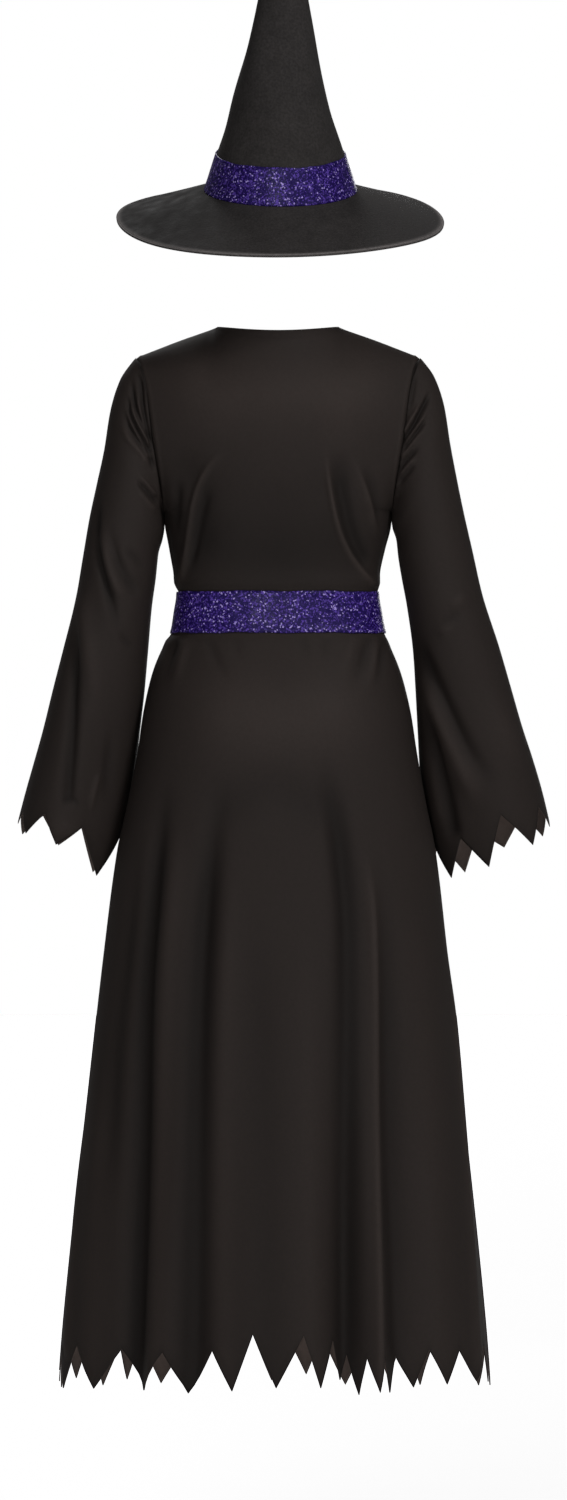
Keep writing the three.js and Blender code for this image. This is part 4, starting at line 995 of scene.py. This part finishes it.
def sleeve_form(side, turn, down):
    """A sleeve of the left side. Turn runs in degrees from the outer side over the back."""
    rings = SLEEVE_RINGS[side]
    names = ("innerX", "outerX", "innerZ", "outerZ", "reach", "y")
    across, swing = (1 + np.cos(np.radians(turn))) / 2, np.sin(np.radians(turn))
    squarer = 1 - FLATTENED * ease((down - FLATTENED_START) / FLATTENED_FADE)

    def ring(inner_x, outer_x, inner_z, outer_z, reach, middle, depth):
        return np.stack([inner_x + (outer_x - inner_x) * across, middle + reach * depth,
                         inner_z + (outer_z - inner_z) * across], axis=-1)

    oval = ring(*(smooth_column(rings, "down", name, down) for name in names),
                np.sign(swing) * np.abs(swing) ** squarer)
    start = ring(*(rings[0][name] for name in names), swing)
    wrapped = turn % 360
    facing = np.where(wrapped <= 180, 1, -1)
    seam = armhole_point(facing, np.where(wrapped <= 180, wrapped / 180, 2 - wrapped / 180))
    point = oval + (seam - start) * (1 - ease(down / SEAM_FADE))[..., None]
    point[..., 0] += SEAM_GAP
    return point


def sleeve_grid(side, even):
    """Rows of points on the smooth form, the turn of each and its way down."""
    last = CUFF_POINTS[side][-1]
    cuff_turn, cuff_down = columns_to_teeth(
        CUFF_POINTS[side], last["notch"] - 360, last["notch_end"], SLEEVE_COLUMNS, True)
    lower_count = round((CUFF_STRAIGHT - CAP_END) / SLEEVE_ROW_STEP) + 1
    lower = np.linspace(CAP_END, CUFF_STRAIGHT, lower_count)
    turn, way = [], []
    for down in np.concatenate([np.arange(0, CAP_END, CAP_ROW_STEP), lower]):
        drawn = float(ease((down - CUFF_DRAW_START) / (CUFF_DRAW_FULL - CUFF_DRAW_START)))
        turn.append(even + (cuff_turn - even) * drawn)
        way.append(np.full(SLEEVE_COLUMNS, down))
    straight = turn[-1]
    for t in np.arange(1, CUFF_ROWS + 1) / CUFF_ROWS:
        turn.append(straight + (cuff_turn - straight) * t)
        way.append(CUFF_STRAIGHT + (cuff_down - CUFF_STRAIGHT) * t)
    turn, way = np.array(turn), np.array(way)
    return sleeve_form(side, turn, way), turn, way


def sleeve(side):
    even = 360 * np.arange(SLEEVE_COLUMNS) / SLEEVE_COLUMNS
    grid, turn, way = sleeve_grid(side, even)
    out = grid_directions(grid, True)
    height = flute_height(SLEEVE_FLUTES, turn, 360, way, SLEEVE_FLUTE_FULL)
    shade = np.zeros_like(height)
    for way_round, sign in (("back", 1), ("front", -1)):
        creases, crease_shade = lay_folds(grid[..., 0], grid[..., 2], SLEEVE_FOLDS[side, way_round])
        turned_to = ease(sign * np.sin(np.radians(turn)) / TURNED_TO)
        height += creases * turned_to
        shade += crease_shade * turned_to
    from_inner_side = np.abs(turn % 360 - 180) / 180
    inner_seam = seam_pull(from_inner_side * math.pi * INNER_SEAM_ARM)
    height += INNER_SEAM_SHARE * inner_seam * ease((way - INNER_SEAM_START) / INNER_SEAM_FADE)
    at_armpit = hill(way, INNER_FILL_WAY, INNER_FILL_WIDTH)
    height += INNER_FILL * at_armpit * (1 - ease(from_inner_side / INNER_FILL_REACH))
    grid = grid + out * height[..., None]
    round_seam = np.radians(even)
    inwards = np.stack([np.zeros_like(round_seam), -np.sin(round_seam), -np.cos(round_seam)], axis=-1)
    grid = grid - seam_pull(way)[..., None] * inwards
    allowance = [grid[0] + inwards * deep + np.array([-reach, 0, 0]) for deep, reach in SLEEVE_ALLOWANCE]
    grid = np.concatenate([np.array(allowance), grid])
    # A line of painted shade along the armhole seam, and the turned-in allowance painted in full shade
    shade -= SEAM_SHADE * hill(way, 0, SEAM_SHADE_WIDTH)
    dark = np.full((len(allowance), SLEEVE_COLUMNS), -FULL_SHADING_DEPTH)
    painted_shading = painted_shading_of(np.concatenate([dark, shade]))
    if side == "right":
        grid, painted_shading = grid[:, ::-1] * np.array([-1, 1, 1]), painted_shading[:, ::-1]
    # The cuff's inner skin painted paler: painted light
    inside = 1 + INSIDE_AT_HEM * ease((np.arange(len(grid)) - len(grid) + PALE_ROWS) / PALE_FADE)
    return cloth_mesh("sleeve_" + side + "_cloth", grid, DRESS_WALL, is_tube=True, inside=inside[:, None],
                      marks=knit_marks(grid, CUFF_ROWS, painted_shading))


sleeve_left = sleeve("left")
sleeve_right = sleeve("right")

# %% [markdown]
# ## The belt
#
# The belt is one strip of glitter cloth, which goes once round the waist from the middle
# of the front and laps over its own start. It is made from the dress's own points, moved
# out, so that it lies on the cloth all round. Its edges wander by half a millimetre and
# its face by a little more, as a soft strip does.

# %% Belt
BELT_WALL, BELT_SHOWN_WALL, BELT_COLUMNS, BELT_ROWS = 1.8, 1.6, 360, 18
BELT_START, BELT_LAP, LAP_CLIMB = 1.5, 2 / 16, 1 / 16
BELT_EDGE_WAVES = [(0.5, 7, 0, 1), (0.3, 17, 0, 0)]
BELT_FACE_WAVES, BELT_FACE_LEAST = [(0.35, 9, 2, 0), (0.25, 23, 0, 5)], -0.3
EDGE_HEM, EDGE_HEM_WIDTH = 0.45, 0.09
EDGE_ROLL, EDGE_ROLL_WIDTH = 0.5, 0.02


def both_edges(down, width):
    """1 at the upper and the lower edge of a strip, and 0 away from them."""
    return hill(down, 0, width) + hill(down, 1, width)


def belt():
    heights = np.linspace(BELT_TOP, BELT_FOOT, BELT_ROWS + 1)
    turn, z = np.meshgrid(np.linspace(0, 2 + BELT_LAP, BELT_COLUMNS + 1), heights)
    place = (BELT_START + turn) % 2
    z = z + waves(BELT_EDGE_WAVES, math.pi * turn)
    back, front = (on_form(panel, place % 1, form_row(z)) for panel in FACING)
    grid = np.where((place < 1)[..., None], back, front)
    out = grid_directions(grid, False)
    lift = (LYING_GAP + BELT_WALL) * (1 + ease((turn - (2 - LAP_CLIMB)) / LAP_CLIMB))
    down = (BELT_TOP - z) / (BELT_TOP - BELT_FOOT)
    lift += np.maximum(waves(BELT_FACE_WAVES, math.pi * turn, down), BELT_FACE_LEAST)
    lift += EDGE_HEM * both_edges(down, EDGE_HEM_WIDTH) - EDGE_ROLL * both_edges(down, EDGE_ROLL_WIDTH)
    return cloth_mesh("belt_cloth", grid + out * lift[..., None], BELT_SHOWN_WALL, directions=out)


belt_piece = belt()

# %% [markdown]
# ## The hat
#
# The crown is a tall hollow cone of felt, the brim a wide ring that hangs a little, and
# the band a strip of glitter cloth round the foot of the crown. A cone from the menu would
# be dead straight. A felt crown is slightly hollow in its flanks, and it has soft dents
# from being handled, so it is turned from a profile and then pushed in and out.

# %% Sizes of the hat
CROWN_RADII = named_rows("z radius", [
    (0, 92.5),
    (24, 85),
    (48, 77.4),
    (80, 67.5),
    (119, 57.5),
    (184, 41.2),
    (250, 27.6),
    (310, 17.5),
    (360, 8),
    (386, 3.4),
    (392, 0.4),
])
BRIM_RADIUS, BRIM_DROOP, BRIM_CURVE = 205, 39, 0.95
BRIM_WAVE, BRIM_WAVES, BRIM_WAVE_TURN = 2, 3, 1
BRIM_RIM, BRIM_RIM_WIDTH, BRIM_GROOVE, BRIM_GROOVE_WIDTH = 2.6, 1.8, 4.2, 0.8
BRIM_EDGE, BRIM_EDGE_ROWS, BRIM_EDGE_RELIEF = 5, 8, 0.5
# The brim is painted darker than the crown: painted shade that evens out the light its
# upturned face catches. It is painted hardly darker behind, where the crown shades it,
# darkest at the left, where a front light grazes it, and less dark at the right
BRIM_SHADE, SHADE_BEHIND, SHADE_LEFT, SHADE_SIDES = 0.7, 0.34, 0.2, 0.14
HAT_BAND_WIDTH, FELT_WALL, BAND_WALL = 47, 2.2, 1.5
# Dents of the crown, which fade in over its foot and out towards its tip, and its lean
CROWN_DENTS = [(0.9, 2, 1 / 60, 0), (0.7, 3, -1 / 37, 2), (0.5, 5, 1 / 23, 0)]
DENTS_START, DENTS_FADE, DENTS_END, DENTS_END_FADE = 44, 60, 392, 120
LEAN, LEAN_LENGTH, LEAN_TURN, LEAN_START, LEAN_FADE = 1.6, 58, 0.4, 60, 120
BRIM_RIPPLE, BRIM_RIPPLES, BRIM_RIPPLE_TURN = 0.5, 5, 2
CROWN_SHOWN_WALL = 0.8 * FELT_WALL
BAND_EDGE_WAVES = [(0.5, 5, 0, 1), (0.3, 13, 0, 0)]
BAND_FACE_WAVES, BAND_FACE_LEAST = [(0.3, 9, 3, 0), (0.2, 21, 0, 0)], -0.2
BAND_ROLL, BAND_ROLL_WIDTH = 0.4, 0.03
CROWN_COLUMNS, BRIM_COLUMNS, BAND_COLUMNS = 144, 240, 260
CROWN_ROWS, BRIM_ROWS, BAND_ROWS = 150, 34, 22
HAT_TILT, HAT_ROLL = math.radians(16), math.radians(-0.4)
HAT_PLACE = np.array([-3.0, -15.0, 177.5])


def worn(points):
    """Points of the hat, from its own upright place to its place over the dress."""
    roll = np.array([[math.cos(HAT_ROLL), 0, math.sin(HAT_ROLL)], [0, 1, 0],
                     [-math.sin(HAT_ROLL), 0, math.cos(HAT_ROLL)]])
    tilt = np.array([[1, 0, 0], [0, math.cos(HAT_TILT), math.sin(HAT_TILT)],
                     [0, -math.sin(HAT_TILT), math.cos(HAT_TILT)]])
    return points @ (tilt @ roll).T + HAT_PLACE


def turned_grid(radii, columns, height_at):
    """Rows of a turned form, seen from outside, and the angle of each column."""
    angle = -2 * math.pi * np.arange(columns) / columns
    radius = np.repeat(radii[:, None], columns, axis=1)
    height = np.broadcast_to(height_at(radius, angle), radius.shape)
    return np.stack([radius * np.cos(angle), radius * np.sin(angle), height], axis=-1), angle


print("the crown's foot is", round(2 * math.pi * CROWN_RADII[0]["radius"]), "mm round")

# %% Crown, brim and band
def hat_crown():
    heights = np.concatenate([[391.8, 391], np.linspace(389, 0, CROWN_ROWS)])
    radii = smooth_column(CROWN_RADII, "z", "radius", heights)
    grid, angle = turned_grid(radii, CROWN_COLUMNS, lambda *_: heights[:, None] + SEAM_GAP)
    h = grid[..., 2]
    dents = waves(CROWN_DENTS, angle, h) * ease((h - DENTS_START) / DENTS_FADE)
    dents *= ease((DENTS_END - h) / DENTS_END_FADE)
    lean = LEAN * np.sin(h / LEAN_LENGTH + LEAN_TURN) * ease((h - LEAN_START) / LEAN_FADE)
    grid = grid + grid_directions(grid, True) * dents[..., None]
    grid[..., 0] += lean
    plain = np.zeros(grid.shape[:2])
    return cloth_mesh("hat_crown_felt", worn(grid), CROWN_SHOWN_WALL, is_tube=True,
                      marks=dict(edge=plain, painted_brim_shade=plain + 1))


def brim_height(radius, angle):
    root = CROWN_RADII[0]["radius"]
    out = np.clip((radius - root) / (BRIM_RADIUS - root), 0, 1.02)
    wave = BRIM_WAVE * out**2 * np.sin(BRIM_WAVES * -angle + BRIM_WAVE_TURN)
    ripple = BRIM_RIPPLE * out * np.sin(BRIM_RIPPLES * angle + BRIM_RIPPLE_TURN)
    return -BRIM_DROOP * out**BRIM_CURVE + wave + ripple


def hat_brim():
    inner, edge_start = CROWN_RADII[0]["radius"] - FELT_WALL, BRIM_RADIUS - BRIM_EDGE
    radii = np.concatenate([np.linspace(inner, edge_start, BRIM_ROWS),
                            np.linspace(edge_start + 0.6, BRIM_RADIUS, BRIM_EDGE_ROWS)])
    grid, angle = turned_grid(radii, BRIM_COLUMNS, brim_height)
    rim = hill(radii, BRIM_RADIUS - BRIM_RIM, BRIM_RIM_WIDTH)
    groove = hill(radii, BRIM_RADIUS - BRIM_GROOVE, BRIM_GROOVE_WIDTH)
    to_left = np.cos(angle)
    # Painted shade on the brim: lighter behind and at the right, darkest at the left
    painted_brim_shade = BRIM_SHADE + SHADE_BEHIND * ease(np.sin(angle)) ** 4
    painted_brim_shade -= SHADE_LEFT * to_left + SHADE_SIDES * np.abs(to_left)
    grid = grid + grid_directions(grid, True) * (BRIM_EDGE_RELIEF * (rim - groove))[:, None, None]
    # The edge mark carries the painted highlight along the brim's rim
    marks = dict(edge=np.repeat(rim[:, None], BRIM_COLUMNS, axis=1),
                 painted_brim_shade=np.repeat(painted_brim_shade[None], len(radii), axis=0))
    return cloth_mesh("hat_brim_felt", worn(grid), FELT_WALL, is_tube=True, marks=marks)


def hat_band():
    foot = SEAM_GAP + LYING_GAP
    heights = np.linspace(HAT_BAND_WIDTH, foot, BAND_ROWS)
    radii = smooth_column(CROWN_RADII, "z", "radius", heights - SEAM_GAP) + LYING_GAP + BAND_WALL
    grid, angle = turned_grid(radii, BAND_COLUMNS, lambda *_: heights[:, None])
    down = (HAT_BAND_WIDTH - grid[..., 2]) / (HAT_BAND_WIDTH - foot)
    lift = np.maximum(waves(BAND_FACE_WAVES, angle, down), BAND_FACE_LEAST)
    lift -= BAND_ROLL * both_edges(down, BAND_ROLL_WIDTH)
    grid = grid + grid_directions(grid, True) * lift[..., None]
    grid[..., 2] += waves(BAND_EDGE_WAVES, angle) * ease(1 - down)
    return cloth_mesh("hat_band_cloth", worn(grid), BAND_WALL, is_tube=True)


crown, brim, band = hat_crown(), hat_brim(), hat_band()

# %% [markdown]
# ## Finishes
#
# Each effect that more than one finish uses is a node group: a cloudy change of shade, a
# fine knit, and grains of glitter. A group gives only colours, masks and heights, and the
# shader itself stays in each material.

# %% Helpers for node groups
def new_group(name, inputs, outputs):
    group = bpy.data.node_groups.new(name, "ShaderNodeTree")
    for label, kind, value in inputs:
        socket = group.interface.new_socket(label, in_out="INPUT", socket_type=kind)
        if value is not None:
            socket.default_value = value
    for label, kind in outputs:
        group.interface.new_socket(label, in_out="OUTPUT", socket_type=kind)
    return group, group.nodes.new("NodeGroupInput").outputs, group.nodes.new("NodeGroupOutput").inputs


def feed(tree, socket, value):
    """Give a socket a number, a colour or the output of another node."""
    if isinstance(value, bpy.types.NodeSocket):
        tree.links.new(value, socket)
    else:
        socket.default_value = value


def math_node(tree, kind, *values):
    node = tree.nodes.new("ShaderNodeMath")
    node.operation = kind
    for socket, value in zip(node.inputs, values):
        feed(tree, socket, value)
    return node.outputs[0]


def scaled(tree, vector, factor):
    node = tree.nodes.new("ShaderNodeVectorMath")
    node.operation = "SCALE"
    feed(tree, node.inputs[0], vector)
    feed(tree, node.inputs["Scale"], factor)
    return node.outputs[0]


def mixed_colour(tree, factor, first, second):
    node = tree.nodes.new("ShaderNodeMix")
    node.data_type = "RGBA"
    for label, value in (("Factor", factor), ("A", first), ("B", second)):
        feed(tree, node.inputs[label], value)
    return node.outputs["Result"]

# %% A cloudy change of shade
def make_cloud_group():
    group, start, end = new_group(
        "cloudy_shade",
        [("Position", "NodeSocketVector", None), ("Cloud Size", "NodeSocketFloat", 0.05),
         ("Strength", "NodeSocketFloat", 0.1)],
        [("Shade", "NodeSocketFloat")])
    noise = group.nodes.new("ShaderNodeTexNoise")
    noise.inputs["Scale"].default_value = 1.0
    noise.inputs["Detail"].default_value = 3.0
    inverse = math_node(group, "DIVIDE", 1.0, start["Cloud Size"])
    group.links.new(scaled(group, start["Position"], inverse), noise.inputs["Vector"])
    centred = math_node(group, "SUBTRACT", noise.outputs["Fac"], 0.5)
    swing = math_node(group, "MULTIPLY", centred, start["Strength"])
    group.links.new(math_node(group, "MULTIPLY_ADD", swing, 2.0, 1.0), end["Shade"])
    return group


cloudy_shade = make_cloud_group()
print("group", cloudy_shade.name)

# %% [markdown]
# The knit is so fine that one reads it as a surface, not as stitches. Its columns of loops
# run down the cloth 0.7 mm apart, and each loop is 0.5 mm high. The marks "across" and
# "down" hold the way along the cloth, so the knit turns and widens with it.

# %% Knit
WALE_SHARE, COURSE_SHARE, LOOP_BOW, KNIT_SHADE = 0.6, 0.4, 1.2, 0.05


def make_knit_group():
    group, start, end = new_group(
        "fine_knit",
        [("Across", "NodeSocketFloat", 0.0), ("Down", "NodeSocketFloat", 0.0),
         ("Column Width", "NodeSocketFloat", 0.0007), ("Loop Height", "NodeSocketFloat", 0.0005)],
        [("Height", "NodeSocketFloat"), ("Shade", "NodeSocketFloat")])

    def wave(turns):
        return math_node(group, "SINE", math_node(group, "MULTIPLY", turns, 2 * math.pi))

    column = math_node(group, "DIVIDE", start["Across"], start["Column Width"])
    loop = math_node(group, "DIVIDE", start["Down"], start["Loop Height"])
    bow = math_node(group, "PINGPONG", column, 0.5)
    wale = math_node(group, "MULTIPLY", wave(column), WALE_SHARE)
    bowed = math_node(group, "MULTIPLY_ADD", bow, LOOP_BOW, loop)
    course = math_node(group, "MULTIPLY", wave(bowed), COURSE_SHARE)
    both = math_node(group, "ADD", wale, course)
    group.links.new(math_node(group, "MULTIPLY_ADD", both, 0.5, 0.5), end["Height"])
    group.links.new(math_node(group, "MULTIPLY_ADD", both, KNIT_SHADE, 1.0), end["Shade"])
    return group


fine_knit = make_knit_group()
print("group", fine_knit.name)

# %% [markdown]
# Glitter is a layer of tiny flat flakes glued to the cloth, each facing its own way. Each
# cell of a Voronoi pattern is one flake: its random colour says how bright it shines just
# now, and one flake in seventeen or so is turned so that it flashes pale.

# %% Glitter grains
DULL_FLAKES, FLASH_ABOVE = 0.55, 0.94


def make_glitter_group():
    group, start, end = new_group(
        "glitter_grains",
        [("Position", "NodeSocketVector", None), ("Grain Size", "NodeSocketFloat", 0.0017),
         ("Ground", "NodeSocketColor", (0.009, 0.002, 0.075, 1)),
         ("Flake", "NodeSocketColor", (0.1, 0.052, 0.37, 1)),
         ("Flash", "NodeSocketColor", (0.36, 0.28, 0.68, 1))],
        [("Color", "NodeSocketColor"), ("Height", "NodeSocketFloat"), ("Glint", "NodeSocketFloat")])
    inverse = math_node(group, "DIVIDE", 1.0, start["Grain Size"])
    cells = group.nodes.new("ShaderNodeTexVoronoi")
    cells.inputs["Scale"].default_value = 1.0
    group.links.new(scaled(group, start["Position"], inverse), cells.inputs["Vector"])
    parts = group.nodes.new("ShaderNodeSeparateColor")
    group.links.new(cells.outputs["Color"], parts.inputs[0])
    lit = group.nodes.new("ShaderNodeMapRange")
    lit.interpolation_type = "SMOOTHSTEP"
    lit.inputs["From Min"].default_value = DULL_FLAKES
    lit.inputs["From Max"].default_value = 1.0
    group.links.new(parts.outputs[0], lit.inputs["Value"])
    flash = math_node(group, "GREATER_THAN", parts.outputs[1], FLASH_ABOVE)
    dull = mixed_colour(group, lit.outputs[0], start["Ground"], start["Flake"])
    group.links.new(mixed_colour(group, flash, dull, start["Flash"]), end["Color"])
    group.links.new(parts.outputs[2], end["Height"])
    group.links.new(lit.outputs[0], end["Glint"])
    return group


glitter_grains = make_glitter_group()
print("group", glitter_grains.name)

# %% [markdown]
# ## Materials
#
# The knit is black with a warm breath in it. It is darker at its cut edges. Its troughs and
# seams carry painted shade and its ridges painted light. Its inner skin is paler, as a knit's
# wrong side is, and near the hem painted paler still, as painted light. The felt is drier and
# mottled; its brim is painted darker than the crown, as painted shade, with a painted highlight
# near the brim's edge. The glitter cloth is deep violet. Colours are measured and are
# linear, so a number of 0.02 is already a visible black.

# %% Material helpers
def new_material(name, specular):
    """A material, its shader and the object's own coordinates."""
    material = bpy.data.materials.new(name)
    material.use_nodes = True
    tree = material.node_tree
    shader = tree.nodes["Principled BSDF"].inputs
    shader["Specular IOR Level"].default_value = specular
    return material, tree, shader, tree.nodes.new("ShaderNodeTexCoord").outputs["Object"]


def use_group(tree, group, **values):
    node = tree.nodes.new("ShaderNodeGroup")
    node.node_tree = group
    for label, value in values.items():
        feed(tree, node.inputs[label.replace("_", " ")], value)
    return node.outputs


def mark_times(tree, name, factor, start=1.0):
    """A mark of the mesh, times a factor and added to a start."""
    node = tree.nodes.new("ShaderNodeAttribute")
    node.attribute_name = name
    return math_node(tree, "MULTIPLY_ADD", node.outputs["Fac"], factor, start)


def shaded_colour(tree, colour, *shades):
    """A colour times every shade."""
    total = shades[0]
    for shade in shades[1:]:
        total = math_node(tree, "MULTIPLY", total, shade)
    return scaled(tree, colour, total)


def finish_shader(tree, shader, colour, roughness, height, distance, strength):
    """Link the colour, the roughness and a bump from the height."""
    bump = tree.nodes.new("ShaderNodeBump")
    bump.inputs["Distance"].default_value = distance
    bump.inputs["Strength"].default_value = strength
    tree.links.new(height, bump.inputs["Height"])
    tree.links.new(bump.outputs["Normal"], shader["Normal"])
    tree.links.new(colour, shader["Base Color"])
    tree.links.new(roughness, shader["Roughness"])

# %% The three finishes
KNIT_COLOUR, FELT_COLOUR = (0.0225, 0.0171, 0.0152), (0.0325, 0.0298, 0.0292)
# How bright the painted highlight along the brim's edge is
PAINTED_RIM_HIGHLIGHT = 6.0


def make_knit_cloth():
    material, tree, shader, place = new_material("black_knit", 0.16)
    knit = use_group(tree, fine_knit, Across=mark_times(tree, "across", 1.0, 0.0),
                     Down=mark_times(tree, "down", 1.0, 0.0))
    broad = use_group(tree, cloudy_shade, Position=place, Cloud_Size=0.16, Strength=0.1)["Shade"]
    small = use_group(tree, cloudy_shade, Position=place, Cloud_Size=0.004, Strength=0.16)["Shade"]
    # The colour carries painted shade in troughs and seams and painted light on ridges, and a paler inner
    # skin that near the hem is painted light
    colour = shaded_colour(tree, KNIT_COLOUR, knit["Shade"], broad, small, mark_times(tree, "edge", -0.35),
                           mark_times(tree, "painted_shading", 0.5), mark_times(tree, "inside", 1.1))
    rough = math_node(tree, "MULTIPLY", broad, 0.72)
    finish_shader(tree, shader, colour, rough, knit["Height"], 0.00012, 0.35)
    return material


def make_felt():
    material, tree, shader, place = new_material("black_felt", 0.05)
    shader["Sheen Weight"].default_value = 0.02
    shader["Sheen Roughness"].default_value = 0.5
    shader["Sheen Tint"].default_value = (1.0, 0.97, 0.95, 1)
    blotch = use_group(tree, cloudy_shade, Position=place, Cloud_Size=0.024, Strength=0.3)["Shade"]
    fibre = use_group(tree, cloudy_shade, Position=place, Cloud_Size=0.003, Strength=0.5)["Shade"]
    # A painted highlight along the brim's edge, added to the brim's painted shade
    rim = mark_times(tree, "edge", PAINTED_RIM_HIGHLIGHT, mark_times(tree, "painted_brim_shade", 1.0, 0.0))
    colour = shaded_colour(tree, FELT_COLOUR, blotch, fibre, rim)
    rough = math_node(tree, "MULTIPLY", blotch, 0.85)
    finish_shader(tree, shader, colour, rough, fibre, 0.0006, 0.6)
    return material


def make_glitter_cloth():
    material, tree, shader, place = new_material("violet_glitter", 0.2)
    grains = use_group(tree, glitter_grains, Position=place)
    broad = use_group(tree, cloudy_shade, Position=place, Cloud_Size=0.04, Strength=0.2)["Shade"]
    tree.links.new(math_node(tree, "MULTIPLY", grains["Glint"], 0.1), shader["Metallic"])
    rough = math_node(tree, "MULTIPLY_ADD", grains["Height"], -0.3, 0.6)
    finish_shader(tree, shader, scaled(tree, grains["Color"], broad), rough, grains["Height"], 0.0005, 0.8)
    return material


black_knit, black_felt, violet_glitter = make_knit_cloth(), make_felt(), make_glitter_cloth()
print("materials", black_knit.name, black_felt.name, violet_glitter.name)

# %% [markdown]
# ## Putting the costume together
#
# Every piece rides on the frame's one body, stands for its solid and takes its finish from
# the table below. The table also lists the slot of the record for each piece and, as each is
# a sheet of cloth, its cut size: the width and the length of the piece of cloth that it is
# cut from, and the area of the cut. These columns are listed only and not used.

# %% Pieces, slots and cuts
PIECES = named_rows("piece node slot finish flat area held rests_on", [
    (dress_back, "dress_back", "dress_cloth", black_knit, (0.70, 1.34), 0.68, "hung", ["dress_front"]),
    (dress_front, "dress_front", "dress_cloth", black_knit, (0.72, 1.34), 0.69, "hung", ["dress_back"]),
    (sleeve_left, "sleeve_left", "dress_cloth", black_knit, (0.46, 0.65), 0.2, "hung",
     ["dress_back", "dress_front"]),
    (sleeve_right, "sleeve_right", "dress_cloth", black_knit, (0.46, 0.65), 0.2, "hung",
     ["dress_back", "dress_front"]),
    (belt_piece, "belt", "glitter_band", violet_glitter, (0.052, 0.76), 0.0395, "stretched",
     ["dress_back", "dress_front"]),
    (crown, "hat_crown", "hat_felt", black_felt, (0.5, 0.4), 0.11, "stretched", ["hat_brim"]),
    (brim, "hat_brim", "hat_felt", black_felt, (0.42, 0.42), 0.108, "stretched", ["hat_crown"]),
    (band, "hat_band", "glitter_band", violet_glitter, (0.047, 0.57), 0.0255, "stretched", ["hat_crown"]),
])
for row in PIECES:
    piece = row["piece"]
    piece.data.materials.append(row["finish"])
    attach(piece, "root")
    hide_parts(row["node"])
print(len(PIECES), "pieces")

# %% [markdown]
# ## Floor
#
# A pale floor lies well below the hem, so that the costume's soft shadow on it stays below
# the picture. It only catches shadow, and is else as white as the surround.

# %% Floor
FLOOR_HEIGHT = -1.6
FLOOR_RINGS, FLOOR_SIDES = [1.0, 3.0, 9.0, 27.0], 96


def pale_floor():
    turn = 2 * math.pi * np.arange(FLOOR_SIDES) / FLOOR_SIDES
    points = [(0.0, 0.0, FLOOR_HEIGHT)]
    faces = [(0, 1 + k, 1 + (k + 1) % FLOOR_SIDES) for k in range(FLOOR_SIDES)]
    for ring in FLOOR_RINGS:
        points += [(ring * math.cos(t), ring * math.sin(t), FLOOR_HEIGHT) for t in turn]
    for ring in range(len(FLOOR_RINGS) - 1):
        a, b = 1 + ring * FLOOR_SIDES, 1 + (ring + 1) * FLOOR_SIDES
        for k in range(FLOOR_SIDES):
            n = (k + 1) % FLOOR_SIDES
            faces.append((a + k, b + k, b + n, a + n))
    mesh = bpy.data.meshes.new("pale_floor")
    mesh.from_pydata(points, [], faces)
    mesh.update()
    floor = bpy.data.objects.new("pale_floor", mesh)
    bpy.context.scene.collection.objects.link(floor)
    material = bpy.data.materials.new("pale_floor")
    material.use_nodes = True
    shader = material.node_tree.nodes["Principled BSDF"].inputs
    shader["Base Color"].default_value = (0.85, 0.85, 0.84, 1)
    shader["Roughness"].default_value = 0.8
    mesh.materials.append(material)
    floor.is_shadow_catcher = True
    return floor


floor = pale_floor()
print("floor at", FLOOR_HEIGHT, "m")
